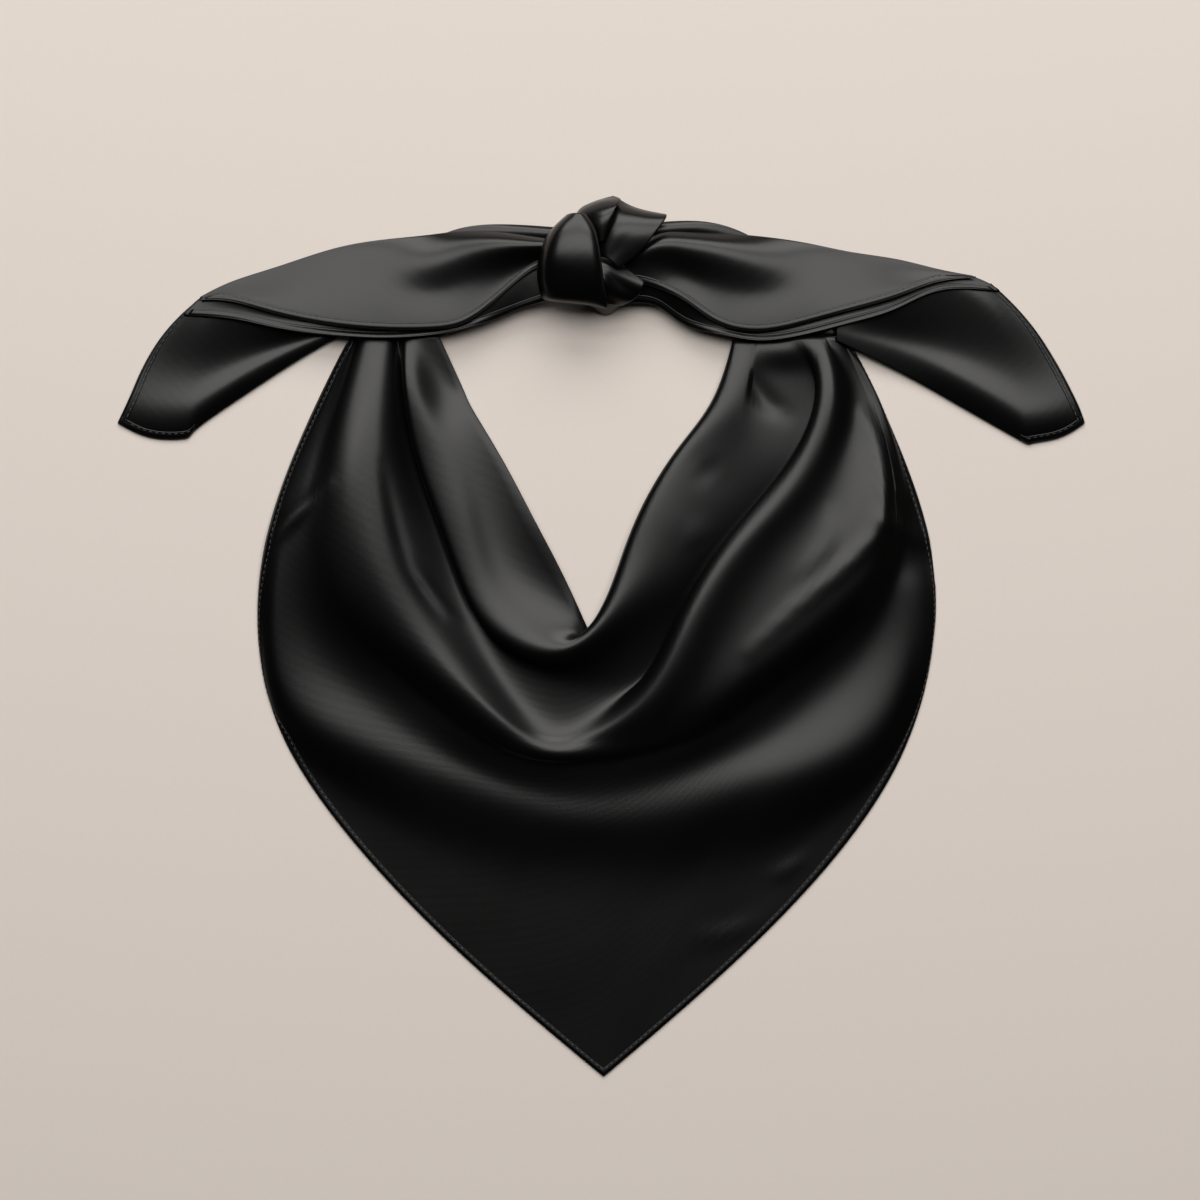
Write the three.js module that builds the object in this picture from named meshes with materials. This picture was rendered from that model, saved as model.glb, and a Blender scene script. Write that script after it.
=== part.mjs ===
// Neckerchief: one square of black satin folded corner to corner and tied, lying flat.
// Millimetres, +Z up, +Y toward the knot, the lowest cloth at zero height.
import * as THREE from 'three';

// Sizes of the whole neckerchief as it lies.
const overallWidth = 410;
const overallHeight = 373;
const pileHeight = 29;

// Thickness of the folded cloth, and the height the packed cloth in the knot reaches.
const clothWall = 1.2;
const coreHeight = 13.7;

// Columns of every table, in thousandths: across is a share of the overall width from the
// middle, up a share of the overall height from the middle, lift a share of the pile height.
// Rows of the front drape from the neckline to the outer hem, thirteen columns from the left
// shoulder round the low point to the right shoulder. A row that turns has a sharp corner in
// its middle column.
const drapeFolds = [
  {
    fold: 'neckline edge',
    across: [-170, -145, -133, -102, -69, -39, -10, 20, 38, 57, 92, 128, 143],
    up: [342, 282, 254, 197, 129, 65, -8, 36, 90, 145, 202, 259, 334],
    lift: [83, 34, 76, 110, 152, 131, 69, 34, 34, 34, 34, 34, 69],
    turns: true,
  },
  {
    fold: 'neckline panel',
    across: [-182, -165, -149, -121, -95, -59, -22, 0, 15, 36, 67, 106, 131],
    up: [339, 278, 232, 165, 96, 41, 3, 45, 97, 154, 211, 268, 334],
    lift: [117, 41, 124, 97, 69, 90, 207, 221, 221, 221, 221, 166, 90],
  },
  {
    fold: 'first fold crest',
    across: [-196, -192, -167, -145, -125, -94, -37, 13, 38, 63, 100, 131, 149],
    up: [339, 279, 211, 145, 70, 15, -8, 40, 97, 152, 213, 264, 334],
    lift: [145, 255, 248, 276, 290, 331, 372, 379, 324, 310, 283, 276, 138],
  },
  {
    fold: 'first fold outer side',
    across: [-205, -207, -197, -173, -147, -112, -43, 26, 63, 102, 143, 154, 164],
    up: [339, 279, 204, 127, 52, -3, -29, 17, 65, 127, 201, 260, 334],
    lift: [103, 207, 228, 255, 290, 310, 317, 310, 317, 276, 214, 172, 117],
  },
  {
    fold: 'first fold tucked side',
    across: [-209, -197, -182, -159, -134, -101, -33, 34, 79, 129, 181, 183, 178],
    up: [339, 278, 199, 121, 47, -9, -36, -3, 42, 114, 194, 262, 334],
    lift: [69, 69, 69, 83, 103, 138, 159, 186, 221, 200, 152, 117, 110],
  },
  {
    fold: 'first valley',
    across: [-212, -204, -189, -164, -138, -97, -25, 48, 92, 142, 202, 232, 195],
    up: [339, 276, 196, 114, 38, -24, -55, -47, 28, 111, 190, 269, 336],
    lift: [55, 28, 28, 41, 69, 90, 97, 103, 138, 152, 110, 69, 103],
  },
  {
    fold: 'second fold inner side',
    across: [-218, -215, -208, -184, -151, -93, -29, 37, 80, 131, 190, 221, 208],
    up: [339, 273, 190, 102, 22, -65, -97, -55, 31, 114, 193, 269, 338],
    lift: [110, 193, 234, 207, 152, 117, 110, 159, 214, 234, 200, 159, 138],
  },
  {
    fold: 'second fold crest',
    across: [-227, -230, -229, -211, -167, -97, -32, 39, 82, 132, 191, 222, 221],
    up: [339, 272, 184, 81, 1, -84, -112, -60, 28, 113, 191, 269, 338],
    lift: [145, 276, 366, 379, 310, 221, 152, 290, 359, 345, 310, 276, 148],
  },
  {
    fold: 'second fold crown',
    across: [-233, -238, -243, -223, -175, -100, -32, 49, 98, 146, 206, 239, 226],
    up: [339, 272, 182, 73, -8, -91, -118, -72, 15, 100, 177, 269, 338],
    lift: [145, 283, 400, 428, 355, 272, 190, 386, 469, 452, 414, 324, 145],
  },
  {
    fold: 'second fold flat',
    across: [-238, -244, -256, -236, -183, -103, -33, 65, 120, 175, 234, 254, 232],
    up: [339, 272, 181, 66, -16, -97, -124, -90, -11, 86, 168, 265, 338],
    lift: [145, 283, 421, 462, 386, 317, 217, 317, 297, 276, 221, 152, 138],
  },
  {
    fold: 'second fold outer ridge',
    across: [-245, -256, -275, -254, -195, -110, -32, 77, 160, 247, 282, 267, 241],
    up: [339, 273, 176, 55, -26, -107, -133, -102, -38, 52, 154, 261, 338],
    lift: [124, 255, 359, 414, 372, 310, 245, 269, 400, 414, 303, 110, 131],
  },
  {
    fold: 'second fold outer side',
    across: [-249, -264, -284, -269, -205, -118, -31, 85, 168, 263, 293, 275, 245],
    up: [339, 273, 170, 47, -36, -115, -141, -112, -53, 40, 147, 259, 338],
    lift: [90, 214, 310, 345, 276, 241, 214, 228, 276, 310, 283, 90, 103],
  },
  {
    fold: 'second fold tucked side',
    across: [-251, -268, -293, -277, -209, -121, -29, 90, 172, 270, 300, 279, 246],
    up: [339, 273, 161, 41, -41, -118, -143, -118, -60, 32, 145, 259, 338],
    lift: [69, 172, 269, 276, 193, 179, 159, 166, 186, 221, 241, 76, 90],
  },
  {
    fold: 'second valley side',
    across: [-253, -272, -302, -289, -217, -127, -22, 97, 181, 276, 305, 283, 246],
    up: [339, 275, 152, 33, -51, -129, -157, -127, -71, 24, 144, 260, 338],
    lift: [59, 145, 234, 200, 152, 145, 131, 152, 145, 166, 193, 66, 86],
  },
  {
    fold: 'second valley',
    across: [-254, -276, -313, -310, -240, -137, -12, 110, 203, 288, 310, 285, 247],
    up: [339, 276, 144, 13, -74, -149, -183, -146, -90, 12, 143, 262, 338],
    lift: [52, 117, 207, 124, 83, 83, 83, 76, 69, 90, 145, 59, 79],
  },
  {
    fold: 'third fold crest',
    across: [-255, -280, -324, -335, -283, -151, -2, 137, 263, 311, 315, 286, 248],
    up: [339, 277, 138, -24, -113, -174, -215, -185, -132, -8, 144, 265, 338],
    lift: [48, 93, 172, 172, 241, 166, 138, 221, 290, 145, 103, 52, 62],
  },
  {
    fold: 'third valley',
    across: [-256, -282, -332, -346, -300, -163, 0, 160, 281, 330, 319, 285, 248],
    up: [339, 278, 133, -30, -134, -224, -262, -235, -150, -12, 146, 268, 339],
    lift: [41, 66, 138, 69, 55, 10, 0, 10, 55, 69, 69, 48, 55],
  },
  {
    fold: 'flat cloth',
    across: [-257, -284, -337, -349, -306, -169, 0, 168, 290, 338, 322, 283, 249],
    up: [341, 279, 131, -25, -141, -269, -335, -278, -153, -5, 148, 271, 341],
    lift: [34, 45, 110, 31, 14, 0, 0, 0, 14, 28, 45, 34, 52],
  },
  {
    fold: 'flat cloth by the hem',
    across: [-257, -285, -339, -352, -310, -175, 1, 171, 295, 342, 324, 281, 249],
    up: [341, 280, 131, -17, -146, -301, -415, -307, -154, 6, 151, 276, 341],
    lift: [34, 31, 90, 10, 0, 0, 0, 0, 3, 10, 28, 28, 34],
    turns: true,
  },
  {
    fold: 'outer hem',
    across: [-258, -286, -340, -353, -312, -178, 2, 174, 302, 344, 327, 280, 249],
    up: [342, 281, 131, -11, -150, -327, -501, -332, -153, 17, 154, 279, 342],
    lift: [34, 21, 69, 0, 0, 0, 0, 0, 0, 0, 14, 21, 34],
    turns: true,
  },
];

// Rows of the upper layer of the left tail from its folded top to its hem, columns from the
// knot outward.
const leftTailFolds = [
  {
    fold: 'folded top edge',
    across: [-47, -74, -105, -141, -178, -224, -276, -333, -380, -414],
    up: [446, 450, 455, 457, 453, 448, 438, 418, 401, 383],
    lift: [379, 379, 293, 186, 162, 183, 193, 193, 228, 228],
  },
  {
    fold: 'top roll',
    across: [-47, -74, -105, -141, -178, -224, -276, -333, -380, -413],
    up: [445, 446, 450, 450, 445, 439, 430, 412, 397, 382],
    lift: [483, 500, 448, 331, 234, 228, 217, 210, 238, 231],
  },
  {
    fold: 'upper slope',
    across: [-47, -74, -105, -141, -178, -224, -276, -333, -380, -412],
    up: [441, 439, 437, 432, 424, 420, 413, 400, 392, 381],
    lift: [517, 534, 500, 428, 376, 269, 255, 248, 255, 238],
  },
  {
    fold: 'middle',
    across: [-47, -74, -105, -141, -178, -224, -276, -333, -380, -411],
    up: [434, 429, 418, 402, 391, 394, 393, 387, 387, 381],
    lift: [448, 414, 372, 310, 286, 307, 297, 293, 272, 245],
  },
  {
    fold: 'lower slope',
    across: [-47, -74, -105, -141, -178, -224, -276, -333, -380, -412],
    up: [428, 419, 397, 375, 368, 368, 370, 375, 382, 381],
    lift: [397, 379, 362, 359, 355, 348, 343, 328, 290, 248],
  },
  {
    fold: 'hem',
    across: [-47, -74, -106, -141, -178, -224, -276, -333, -380, -415],
    up: [424, 412, 383, 355, 347, 347, 352, 364, 378, 380],
    lift: [386, 400, 393, 379, 369, 366, 362, 341, 300, 248],
  },
];

// The same rows for the right tail.
const rightTailFolds = [
  {
    fold: 'folded top edge',
    across: [21, 55, 86, 123, 164, 211, 257, 304, 345, 383],
    up: [425, 451, 455, 454, 451, 444, 434, 426, 415, 407],
    lift: [293, 362, 310, 221, 183, 183, 193, 193, 228, 228],
  },
  {
    fold: 'top roll',
    across: [21, 54, 86, 123, 164, 211, 257, 304, 345, 382],
    up: [424, 446, 450, 447, 443, 436, 427, 420, 412, 406],
    lift: [372, 476, 431, 372, 276, 231, 217, 210, 238, 231],
  },
  {
    fold: 'upper slope',
    across: [21, 54, 86, 123, 164, 211, 257, 304, 345, 381],
    up: [420, 438, 438, 432, 425, 419, 413, 411, 409, 406],
    lift: [393, 510, 500, 462, 397, 276, 255, 248, 255, 238],
  },
  {
    fold: 'middle',
    across: [21, 52, 86, 123, 164, 211, 257, 304, 345, 380],
    up: [416, 425, 413, 397, 389, 395, 397, 401, 406, 406],
    lift: [379, 448, 355, 321, 307, 317, 300, 293, 272, 245],
  },
  {
    fold: 'lower slope',
    across: [21, 50, 86, 123, 164, 211, 257, 304, 345, 381],
    up: [410, 410, 397, 376, 367, 372, 381, 392, 403, 405],
    lift: [359, 414, 366, 359, 366, 355, 343, 328, 290, 248],
  },
  {
    fold: 'hem',
    across: [21, 50, 86, 120, 164, 211, 257, 304, 345, 386],
    up: [403, 397, 379, 354, 345, 355, 369, 384, 400, 405],
    lift: [345, 407, 407, 386, 379, 369, 362, 341, 300, 248],
  },
];

// Rows of the second layer of the left tail, the strip that shows below the first hem.
const leftUnderFolds = [
  {
    fold: 'inner edge',
    across: [-47, -74, -102, -141, -178, -224, -276, -333, -380, -413],
    up: [418, 414, 392, 372, 364, 363, 368, 376, 385, 383],
    lift: [293, 297, 297, 297, 293, 286, 276, 255, 217, 145],
  },
  {
    fold: 'inner strip',
    across: [-48, -76, -104, -141, -178, -224, -276, -333, -380, -416],
    up: [408, 401, 383, 367, 359, 356, 362, 370, 380, 381],
    lift: [307, 300, 297, 293, 286, 283, 276, 266, 221, 145],
  },
  {
    fold: 'outer strip',
    across: [-50, -80, -108, -141, -178, -224, -276, -333, -380, -422],
    up: [394, 383, 371, 358, 350, 347, 351, 360, 371, 376],
    lift: [321, 283, 283, 241, 221, 207, 197, 190, 186, 148],
  },
  {
    fold: 'hem',
    across: [-51, -84, -108, -141, -178, -224, -276, -333, -380, -432],
    up: [383, 372, 361, 348, 340, 337, 340, 348, 359, 364],
    lift: [293, 259, 262, 290, 290, 303, 293, 269, 228, 145],
  },
];

// The same rows for the second layer of the right tail.
const rightUnderFolds = [
  {
    fold: 'inner edge',
    across: [21, 55, 86, 118, 164, 211, 257, 304, 345, 384],
    up: [409, 404, 384, 369, 361, 369, 380, 393, 405, 405],
    lift: [297, 303, 303, 297, 293, 286, 276, 255, 217, 145],
  },
  {
    fold: 'inner strip',
    across: [23, 56, 86, 119, 164, 211, 257, 304, 345, 390],
    up: [400, 395, 377, 362, 355, 363, 376, 389, 403, 404],
    lift: [283, 283, 290, 293, 286, 283, 276, 266, 221, 145],
  },
  {
    fold: 'outer strip',
    across: [25, 57, 86, 122, 164, 211, 257, 304, 347, 400],
    up: [386, 380, 366, 351, 344, 351, 364, 379, 397, 400],
    lift: [255, 241, 248, 241, 221, 207, 197, 190, 186, 148],
  },
  {
    fold: 'hem',
    across: [27, 57, 86, 124, 164, 211, 257, 304, 350, 411],
    up: [378, 375, 354, 341, 334, 341, 354, 370, 391, 391],
    lift: [234, 221, 221, 290, 290, 303, 293, 272, 228, 145],
  },
];

// Rows of the hanging end of the left tail from its top to its lower edge, columns outward
// to the corner.
const leftEndFolds = [
  {
    fold: 'upper edge',
    across: [-263, -309, -352, -385, -401, -411, -417],
    up: [366, 370, 376, 379, 379, 380, 380],
    lift: [166, 166, 152, 134, 103, 97, 90],
  },
  {
    fold: 'hollow',
    across: [-264, -311, -358, -397, -417, -433, -447],
    up: [359, 356, 354, 354, 358, 361, 354],
    lift: [145, 138, 124, 114, 103, 83, 55],
  },
  {
    fold: 'middle',
    across: [-265, -312, -362, -405, -426, -453, -473],
    up: [352, 341, 325, 312, 311, 312, 310],
    lift: [90, 62, 41, 31, 31, 31, 28],
  },
  {
    fold: 'swell',
    across: [-266, -313, -367, -412, -432, -461, -483],
    up: [348, 331, 306, 280, 275, 276, 281],
    lift: [69, 59, 59, 62, 62, 59, 41],
  },
  {
    fold: 'lower slope',
    across: [-267, -314, -368, -416, -432, -464, -493],
    up: [346, 325, 293, 257, 245, 245, 257],
    lift: [69, 79, 107, 114, 107, 83, 38],
  },
  {
    fold: 'lower edge',
    across: [-268, -315, -371, -420, -432, -466, -500],
    up: [343, 314, 274, 236, 225, 226, 242],
    lift: [69, 34, 21, 14, 10, 7, 7],
  },
];

// The same rows for the hanging end of the right tail.
const rightEndFolds = [
  {
    fold: 'upper edge',
    across: [243, 302, 342, 371, 388, 397, 402],
    up: [375, 385, 393, 395, 397, 398, 399],
    lift: [186, 166, 152, 134, 103, 97, 90],
  },
  {
    fold: 'hollow',
    across: [243, 304, 352, 395, 414, 427, 437],
    up: [367, 369, 372, 372, 371, 370, 366],
    lift: [186, 145, 124, 114, 103, 83, 55],
  },
  {
    fold: 'middle',
    across: [243, 307, 363, 414, 435, 454, 468],
    up: [356, 346, 331, 315, 311, 313, 315],
    lift: [186, 83, 41, 31, 31, 31, 28],
  },
  {
    fold: 'swell',
    across: [243, 308, 369, 419, 440, 466, 484],
    up: [347, 330, 305, 276, 267, 271, 280],
    lift: [186, 79, 69, 72, 72, 66, 41],
  },
  {
    fold: 'lower slope',
    across: [243, 310, 371, 425, 443, 471, 495],
    up: [341, 318, 287, 251, 240, 244, 256],
    lift: [186, 97, 121, 131, 124, 90, 38],
  },
  {
    fold: 'lower edge',
    across: [243, 312, 374, 432, 446, 473, 499],
    up: [335, 298, 260, 224, 220, 226, 242],
    lift: [179, 55, 21, 14, 10, 7, 7],
  },
];

// Rows of the gathered neck band from its outer to its inner edge, columns from the left
// shoulder to the knot.
const leftBandFolds = [
  {
    fold: 'outer edge',
    across: [-257, -242, -209, -159, -105, -47],
    up: [344, 381, 422, 457, 465, 461],
    lift: [28, 34, 41, 86, 155, 224],
  },
  {
    fold: 'outer pleat',
    across: [-248, -231, -198, -153, -103, -47],
    up: [344, 378, 416, 449, 460, 457],
    lift: [86, 97, 97, 117, 207, 293],
  },
  {
    fold: 'first groove',
    across: [-231, -217, -188, -147, -100, -47],
    up: [344, 372, 403, 434, 449, 449],
    lift: [55, 55, 55, 69, 155, 241],
  },
  {
    fold: 'middle pleat',
    across: [-213, -200, -176, -138, -95, -47],
    up: [344, 367, 392, 418, 435, 439],
    lift: [103, 110, 110, 138, 207, 259],
  },
  {
    fold: 'second groove',
    across: [-194, -184, -162, -128, -89, -47],
    up: [344, 361, 380, 402, 421, 430],
    lift: [55, 55, 55, 86, 155, 207],
  },
  {
    fold: 'inner edge',
    across: [-171, -165, -147, -116, -82, -47],
    up: [344, 356, 369, 387, 408, 421],
    lift: [69, 76, 76, 103, 155, 190],
  },
];

// The same rows for the right neck band.
const rightBandFolds = [
  {
    fold: 'outer edge',
    across: [248, 232, 200, 156, 107, 50],
    up: [342, 376, 416, 451, 468, 466],
    lift: [28, 34, 41, 86, 172, 224],
  },
  {
    fold: 'outer pleat',
    across: [237, 222, 190, 148, 105, 50],
    up: [342, 373, 410, 443, 462, 461],
    lift: [86, 97, 97, 124, 224, 293],
  },
  {
    fold: 'first groove',
    across: [218, 203, 174, 139, 102, 50],
    up: [342, 369, 401, 430, 452, 452],
    lift: [55, 55, 55, 69, 155, 241],
  },
  {
    fold: 'middle pleat',
    across: [195, 183, 158, 129, 98, 50],
    up: [342, 364, 391, 418, 439, 442],
    lift: [103, 110, 110, 138, 207, 259],
  },
  {
    fold: 'second groove',
    across: [172, 162, 141, 114, 92, 50],
    up: [341, 360, 381, 405, 425, 432],
    lift: [55, 55, 55, 86, 155, 207],
  },
  {
    fold: 'inner edge',
    across: [145, 139, 120, 100, 83, 50],
    up: [339, 353, 369, 388, 408, 421],
    lift: [69, 76, 76, 103, 155, 190],
  },
];

// Rows of the wrap over the front of the knot from left to right, columns from top to bottom.
const wrapFolds = [
  {
    fold: 'left edge',
    across: [-34, -45, -55, -62, -64, -59, -55],
    up: [474, 463, 449, 429, 404, 383, 391],
    lift: [600, 621, 621, 607, 566, 503, 400],
  },
  {
    fold: 'left side',
    across: [-32, -43, -53, -59, -60, -54, -52],
    up: [474, 463, 447, 426, 402, 381, 389],
    lift: [710, 786, 834, 834, 769, 641, 386],
  },
  {
    fold: 'middle',
    across: [-28, -34, -39, -42, -40, -37, -36],
    up: [475, 462, 444, 421, 399, 379, 387],
    lift: [766, 841, 897, 903, 834, 690, 324],
  },
  {
    fold: 'crest',
    across: [-23, -21, -20, -20, -19, -18, -18],
    up: [475, 461, 443, 420, 395, 377, 385],
    lift: [779, 855, 917, 924, 845, 683, 462],
  },
  {
    fold: 'right side',
    across: [-20, -12, -8, -6, -3, -2, -2],
    up: [474, 460, 443, 420, 395, 375, 378],
    lift: [766, 848, 910, 917, 828, 655, 531],
  },
  {
    fold: 'right edge',
    across: [-17, -9, -5, -2, 1, 5, 4],
    up: [473, 459, 442, 420, 396, 373, 376],
    lift: [731, 793, 848, 848, 759, 621, 538],
  },
];

// Rows of the loop at the top of the knot, columns from its outer end inward.
const loopFolds = [
  {
    fold: 'left edge',
    across: [-24, -21, -14, -10, -6],
    up: [477, 474, 463, 453, 442],
    lift: [328, 503, 607, 638, 638],
  },
  {
    fold: 'left side',
    across: [-22, -16, -10, -6, -4],
    up: [482, 479, 470, 458, 443],
    lift: [331, 538, 662, 683, 655],
  },
  {
    fold: 'middle',
    across: [-14, -7, -2, -1, -2],
    up: [487, 485, 476, 462, 444],
    lift: [324, 538, 690, 724, 672],
  },
  {
    fold: 'right side',
    across: [-2, 5, 7, 5, -1],
    up: [492, 490, 480, 466, 445],
    lift: [317, 531, 690, 731, 697],
  },
  {
    fold: 'right edge',
    across: [12, 19, 14, 8, 1],
    up: [496, 491, 483, 467, 446],
    lift: [310, 510, 662, 710, 690],
  },
];

// Rows of the flap at the upper right of the knot, columns from top to bottom.
const flapFolds = [
  {
    fold: 'inner edge',
    across: [17, 12, 4, -4, -9],
    up: [493, 482, 466, 449, 434],
    lift: [297, 497, 566, 545, 524],
  },
  {
    fold: 'inner side',
    across: [26, 23, 16, 8, 1],
    up: [486, 478, 462, 445, 430],
    lift: [338, 545, 662, 648, 600],
  },
  {
    fold: 'middle',
    across: [38, 36, 29, 19, 8],
    up: [481, 475, 458, 441, 426],
    lift: [352, 552, 659, 652, 614],
  },
  {
    fold: 'outer side',
    across: [50, 49, 41, 28, 13],
    up: [478, 471, 455, 437, 421],
    lift: [366, 545, 641, 655, 634],
  },
  {
    fold: 'outer edge',
    across: [65, 65, 54, 39, 17],
    up: [475, 471, 455, 435, 416],
    lift: [372, 510, 607, 621, 614],
  },
];

// Rows of the small crossing folds at the lower right of the knot, columns outward.
const crossFolds = [
  {
    fold: 'upper edge',
    across: [-10, 7, 23, 43],
    up: [429, 424, 416, 399],
    lift: [497, 497, 483, 490],
  },
  {
    fold: 'upper fold',
    across: [-8, 7, 21, 41],
    up: [422, 417, 408, 393],
    lift: [614, 603, 566, 514],
  },
  {
    fold: 'crease',
    across: [-6, 5, 17, 38],
    up: [414, 409, 399, 386],
    lift: [600, 579, 517, 441],
  },
  {
    fold: 'lower fold',
    across: [-5, 2, 12, 31],
    up: [405, 400, 389, 381],
    lift: [648, 655, 579, 441],
  },
  {
    fold: 'lower side',
    across: [-3, 1, 8, 25],
    up: [395, 389, 383, 378],
    lift: [552, 545, 469, 393],
  },
  {
    fold: 'lower edge',
    across: [-2, 1, 6, 21],
    up: [385, 381, 377, 376],
    lift: [403, 428, 421, 338],
  },
];

// Rows of the turned end at the bottom of the knot, columns from left to right.
const nubFolds = [
  {
    fold: 'upper edge',
    across: [-18, -5, 8, 21],
    up: [384, 381, 381, 384],
    lift: [383, 362, 359, 303],
  },
  {
    fold: 'upper side',
    across: [-16, -4, 8, 20],
    up: [379, 376, 376, 379],
    lift: [310, 324, 317, 262],
  },
  {
    fold: 'lower side',
    across: [-14, -4, 7, 17],
    up: [376, 372, 370, 376],
    lift: [155, 190, 207, 172],
  },
  {
    fold: 'lower edge',
    across: [-11, -4, 6, 15],
    up: [376, 371, 367, 375],
    lift: [34, 34, 34, 34],
  },
];

// Tells where a natural cubic spline through evenly spaced values passes at place t.
function splineAt(values, t) {
  const last = values.length - 1;
  const bend = new Array(values.length).fill(0);
  const slope = new Array(values.length).fill(0);
  for (let i = 1; i < last; i += 1) {
    const pivot = 4 + slope[i - 1];
    slope[i] = -1 / pivot;
    bend[i] = (6 * (values[i - 1] - 2 * values[i] + values[i + 1]) - bend[i - 1]) / pivot;
  }
  bend[last] = 0;
  for (let i = last - 1; i > 0; i -= 1) bend[i] += slope[i] * bend[i + 1];
  bend[0] = 0;
  const i = Math.min(Math.floor(t), last - 1);
  const b = t - i;
  const a = 1 - b;
  const curve = (a ** 3 - a) * bend[i] + (b ** 3 - b) * bend[i + 1];
  return a * values[i] + b * values[i + 1] + curve / 6;
}

// Weights of a clamped smooth curve over a number of rows at place s between 0 and 1.
function rowWeights(rows, s) {
  const degree = Math.min(3, rows - 1);
  const spans = rows - degree;
  const knot = (i) => Math.min(Math.max(i - degree, 0), spans) / spans;
  const place = Math.min(s, 1 - 1e-9);
  const span = degree + Math.floor(place * spans);
  let weights = [1];
  for (let d = 1; d <= degree; d += 1) {
    const next = new Array(d + 1).fill(0);
    for (let r = 0; r < d; r += 1) {
      const low = knot(span + 1 - d + r);
      const high = knot(span + 1 + r);
      const part = weights[r] / (high - low);
      next[r] += (high - place) * part;
      next[r + 1] += (place - low) * part;
    }
    weights = next;
  }
  return weights.map((weight, i) => [span - degree + i, weight]);
}

// Reads one column of a row at place t. A row that turns is read as two curves that meet in a
// corner at its middle column.
function readRow(row, column, t) {
  const values = row[column];
  if (!row.turns) return splineAt(values, t);
  const corner = (values.length - 1) / 2;
  if (t <= corner) return splineAt(values.slice(0, corner + 1), t);
  return splineAt(values.slice(corner), t - corner);
}

// Gives the point of a cloth surface at column place t and row place s.
function surfacePoint(folds, t, s) {
  const point = new THREE.Vector3();
  for (const [index, weight] of rowWeights(folds.length, s)) {
    point.x += weight * readRow(folds[index], 'across', t) * overallWidth / 1000;
    point.y += weight * readRow(folds[index], 'up', t) * overallHeight / 1000;
    point.z += weight * readRow(folds[index], 'lift', t) * pileHeight / 1000;
  }
  point.z = Math.max(point.z, 0);
  return point;
}

// Builds a closed sheet of cloth: the underside follows the table, the upper side lies one
// wall above it, and a rim joins the two.
function clothSheet(sheet) {
  const { name, folds, columns, rows } = sheet;
  const under = [];
  for (let j = 0; j <= rows; j += 1) {
    for (let i = 0; i <= columns; i += 1) {
      const t = (i / columns) * (folds[0].across.length - 1);
      under.push(surfacePoint(folds, t, j / rows));
    }
  }
  const at = (i, j) => j * (columns + 1) + i;
  const quads = [];
  for (let j = 0; j < rows; j += 1) {
    for (let i = 0; i < columns; i += 1) {
      quads.push([at(i, j), at(i + 1, j), at(i + 1, j + 1), at(i, j + 1)]);
    }
  }
  const normals = under.map(() => new THREE.Vector3());
  for (const quad of quads) {
    const [a, b, c, d] = quad.map((index) => under[index]);
    const turn = c.clone().sub(a).cross(d.clone().sub(b));
    for (const index of quad) normals[index].add(turn);
  }
  const facing = Math.sign(normals.reduce((sum, normal) => sum + normal.z, 0));
  const upper = under.map((point, index) => (
    point.clone().addScaledVector(normals[index].normalize(), facing * clothWall)
  ));
  for (const point of upper) point.z = Math.max(point.z, 0);
  const count = under.length;
  const border = [];
  for (let i = 0; i < columns; i += 1) border.push(at(i, 0));
  for (let j = 0; j < rows; j += 1) border.push(at(columns, j));
  for (let i = columns; i > 0; i -= 1) border.push(at(i, rows));
  for (let j = rows; j > 0; j -= 1) border.push(at(0, j));
  const faces = [];
  for (const [a, b, c, d] of quads) {
    faces.push([a + count, b + count, c + count], [a + count, c + count, d + count]);
    faces.push([a, c, b], [a, d, c]);
  }
  border.forEach((from, k) => {
    const to = border[(k + 1) % border.length];
    faces.push([from, to, to + count], [from, to + count, from + count]);
  });
  if (facing < 0) for (const face of faces) face.reverse();
  return clothMesh(name, [...under, ...upper], faces);
}

// Makes a named mesh of black satin from points and three-cornered faces.
function clothMesh(name, points, faces) {
  const geometry = new THREE.BufferGeometry();
  geometry.setAttribute('position', new THREE.Float32BufferAttribute(
    points.flatMap((point) => point.toArray()), 3,
  ));
  geometry.setIndex(faces.flat());
  geometry.computeVertexNormals();
  const satin = new THREE.MeshStandardMaterial({ color: 0x1d1d1f, roughness: 0.45, metalness: 0 });
  const mesh = new THREE.Mesh(geometry, satin);
  mesh.name = name;
  return mesh;
}

// Builds the packed cloth inside the knot, a round cushion on a flat foot.
function packedCore(name) {
  const centre = { across: -0.012, up: 0.432 };
  const radius = { across: 0.026, up: 0.033 };
  const rings = 8;
  const sides = 20;
  const points = [];
  const faces = [];
  for (let j = 1; j < rings; j += 1) {
    const turn = Math.PI * (j / rings - 0.5);
    for (let i = 0; i < sides; i += 1) {
      const angle = (2 * Math.PI * i) / sides;
      points.push(new THREE.Vector3(
        (centre.across + radius.across * Math.cos(turn) * Math.cos(angle)) * overallWidth,
        (centre.up + radius.up * Math.cos(turn) * Math.sin(angle)) * overallHeight,
        coreHeight * (0.5 + 0.5 * Math.sin(turn)),
      ));
    }
  }
  const middle = [centre.across * overallWidth, centre.up * overallHeight];
  const foot = points.push(new THREE.Vector3(...middle, 0)) - 1;
  const crown = points.push(new THREE.Vector3(...middle, coreHeight)) - 1;
  const at = (i, j) => j * sides + (i % sides);
  for (let i = 0; i < sides; i += 1) {
    for (let j = 0; j < rings - 2; j += 1) {
      faces.push([at(i, j), at(i + 1, j), at(i + 1, j + 1)]);
      faces.push([at(i, j), at(i + 1, j + 1), at(i, j + 1)]);
    }
    faces.push([foot, at(i + 1, 0), at(i, 0)]);
    faces.push([crown, at(i, rings - 2), at(i + 1, rings - 2)]);
  }
  return clothMesh(name, points, faces);
}

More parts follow.
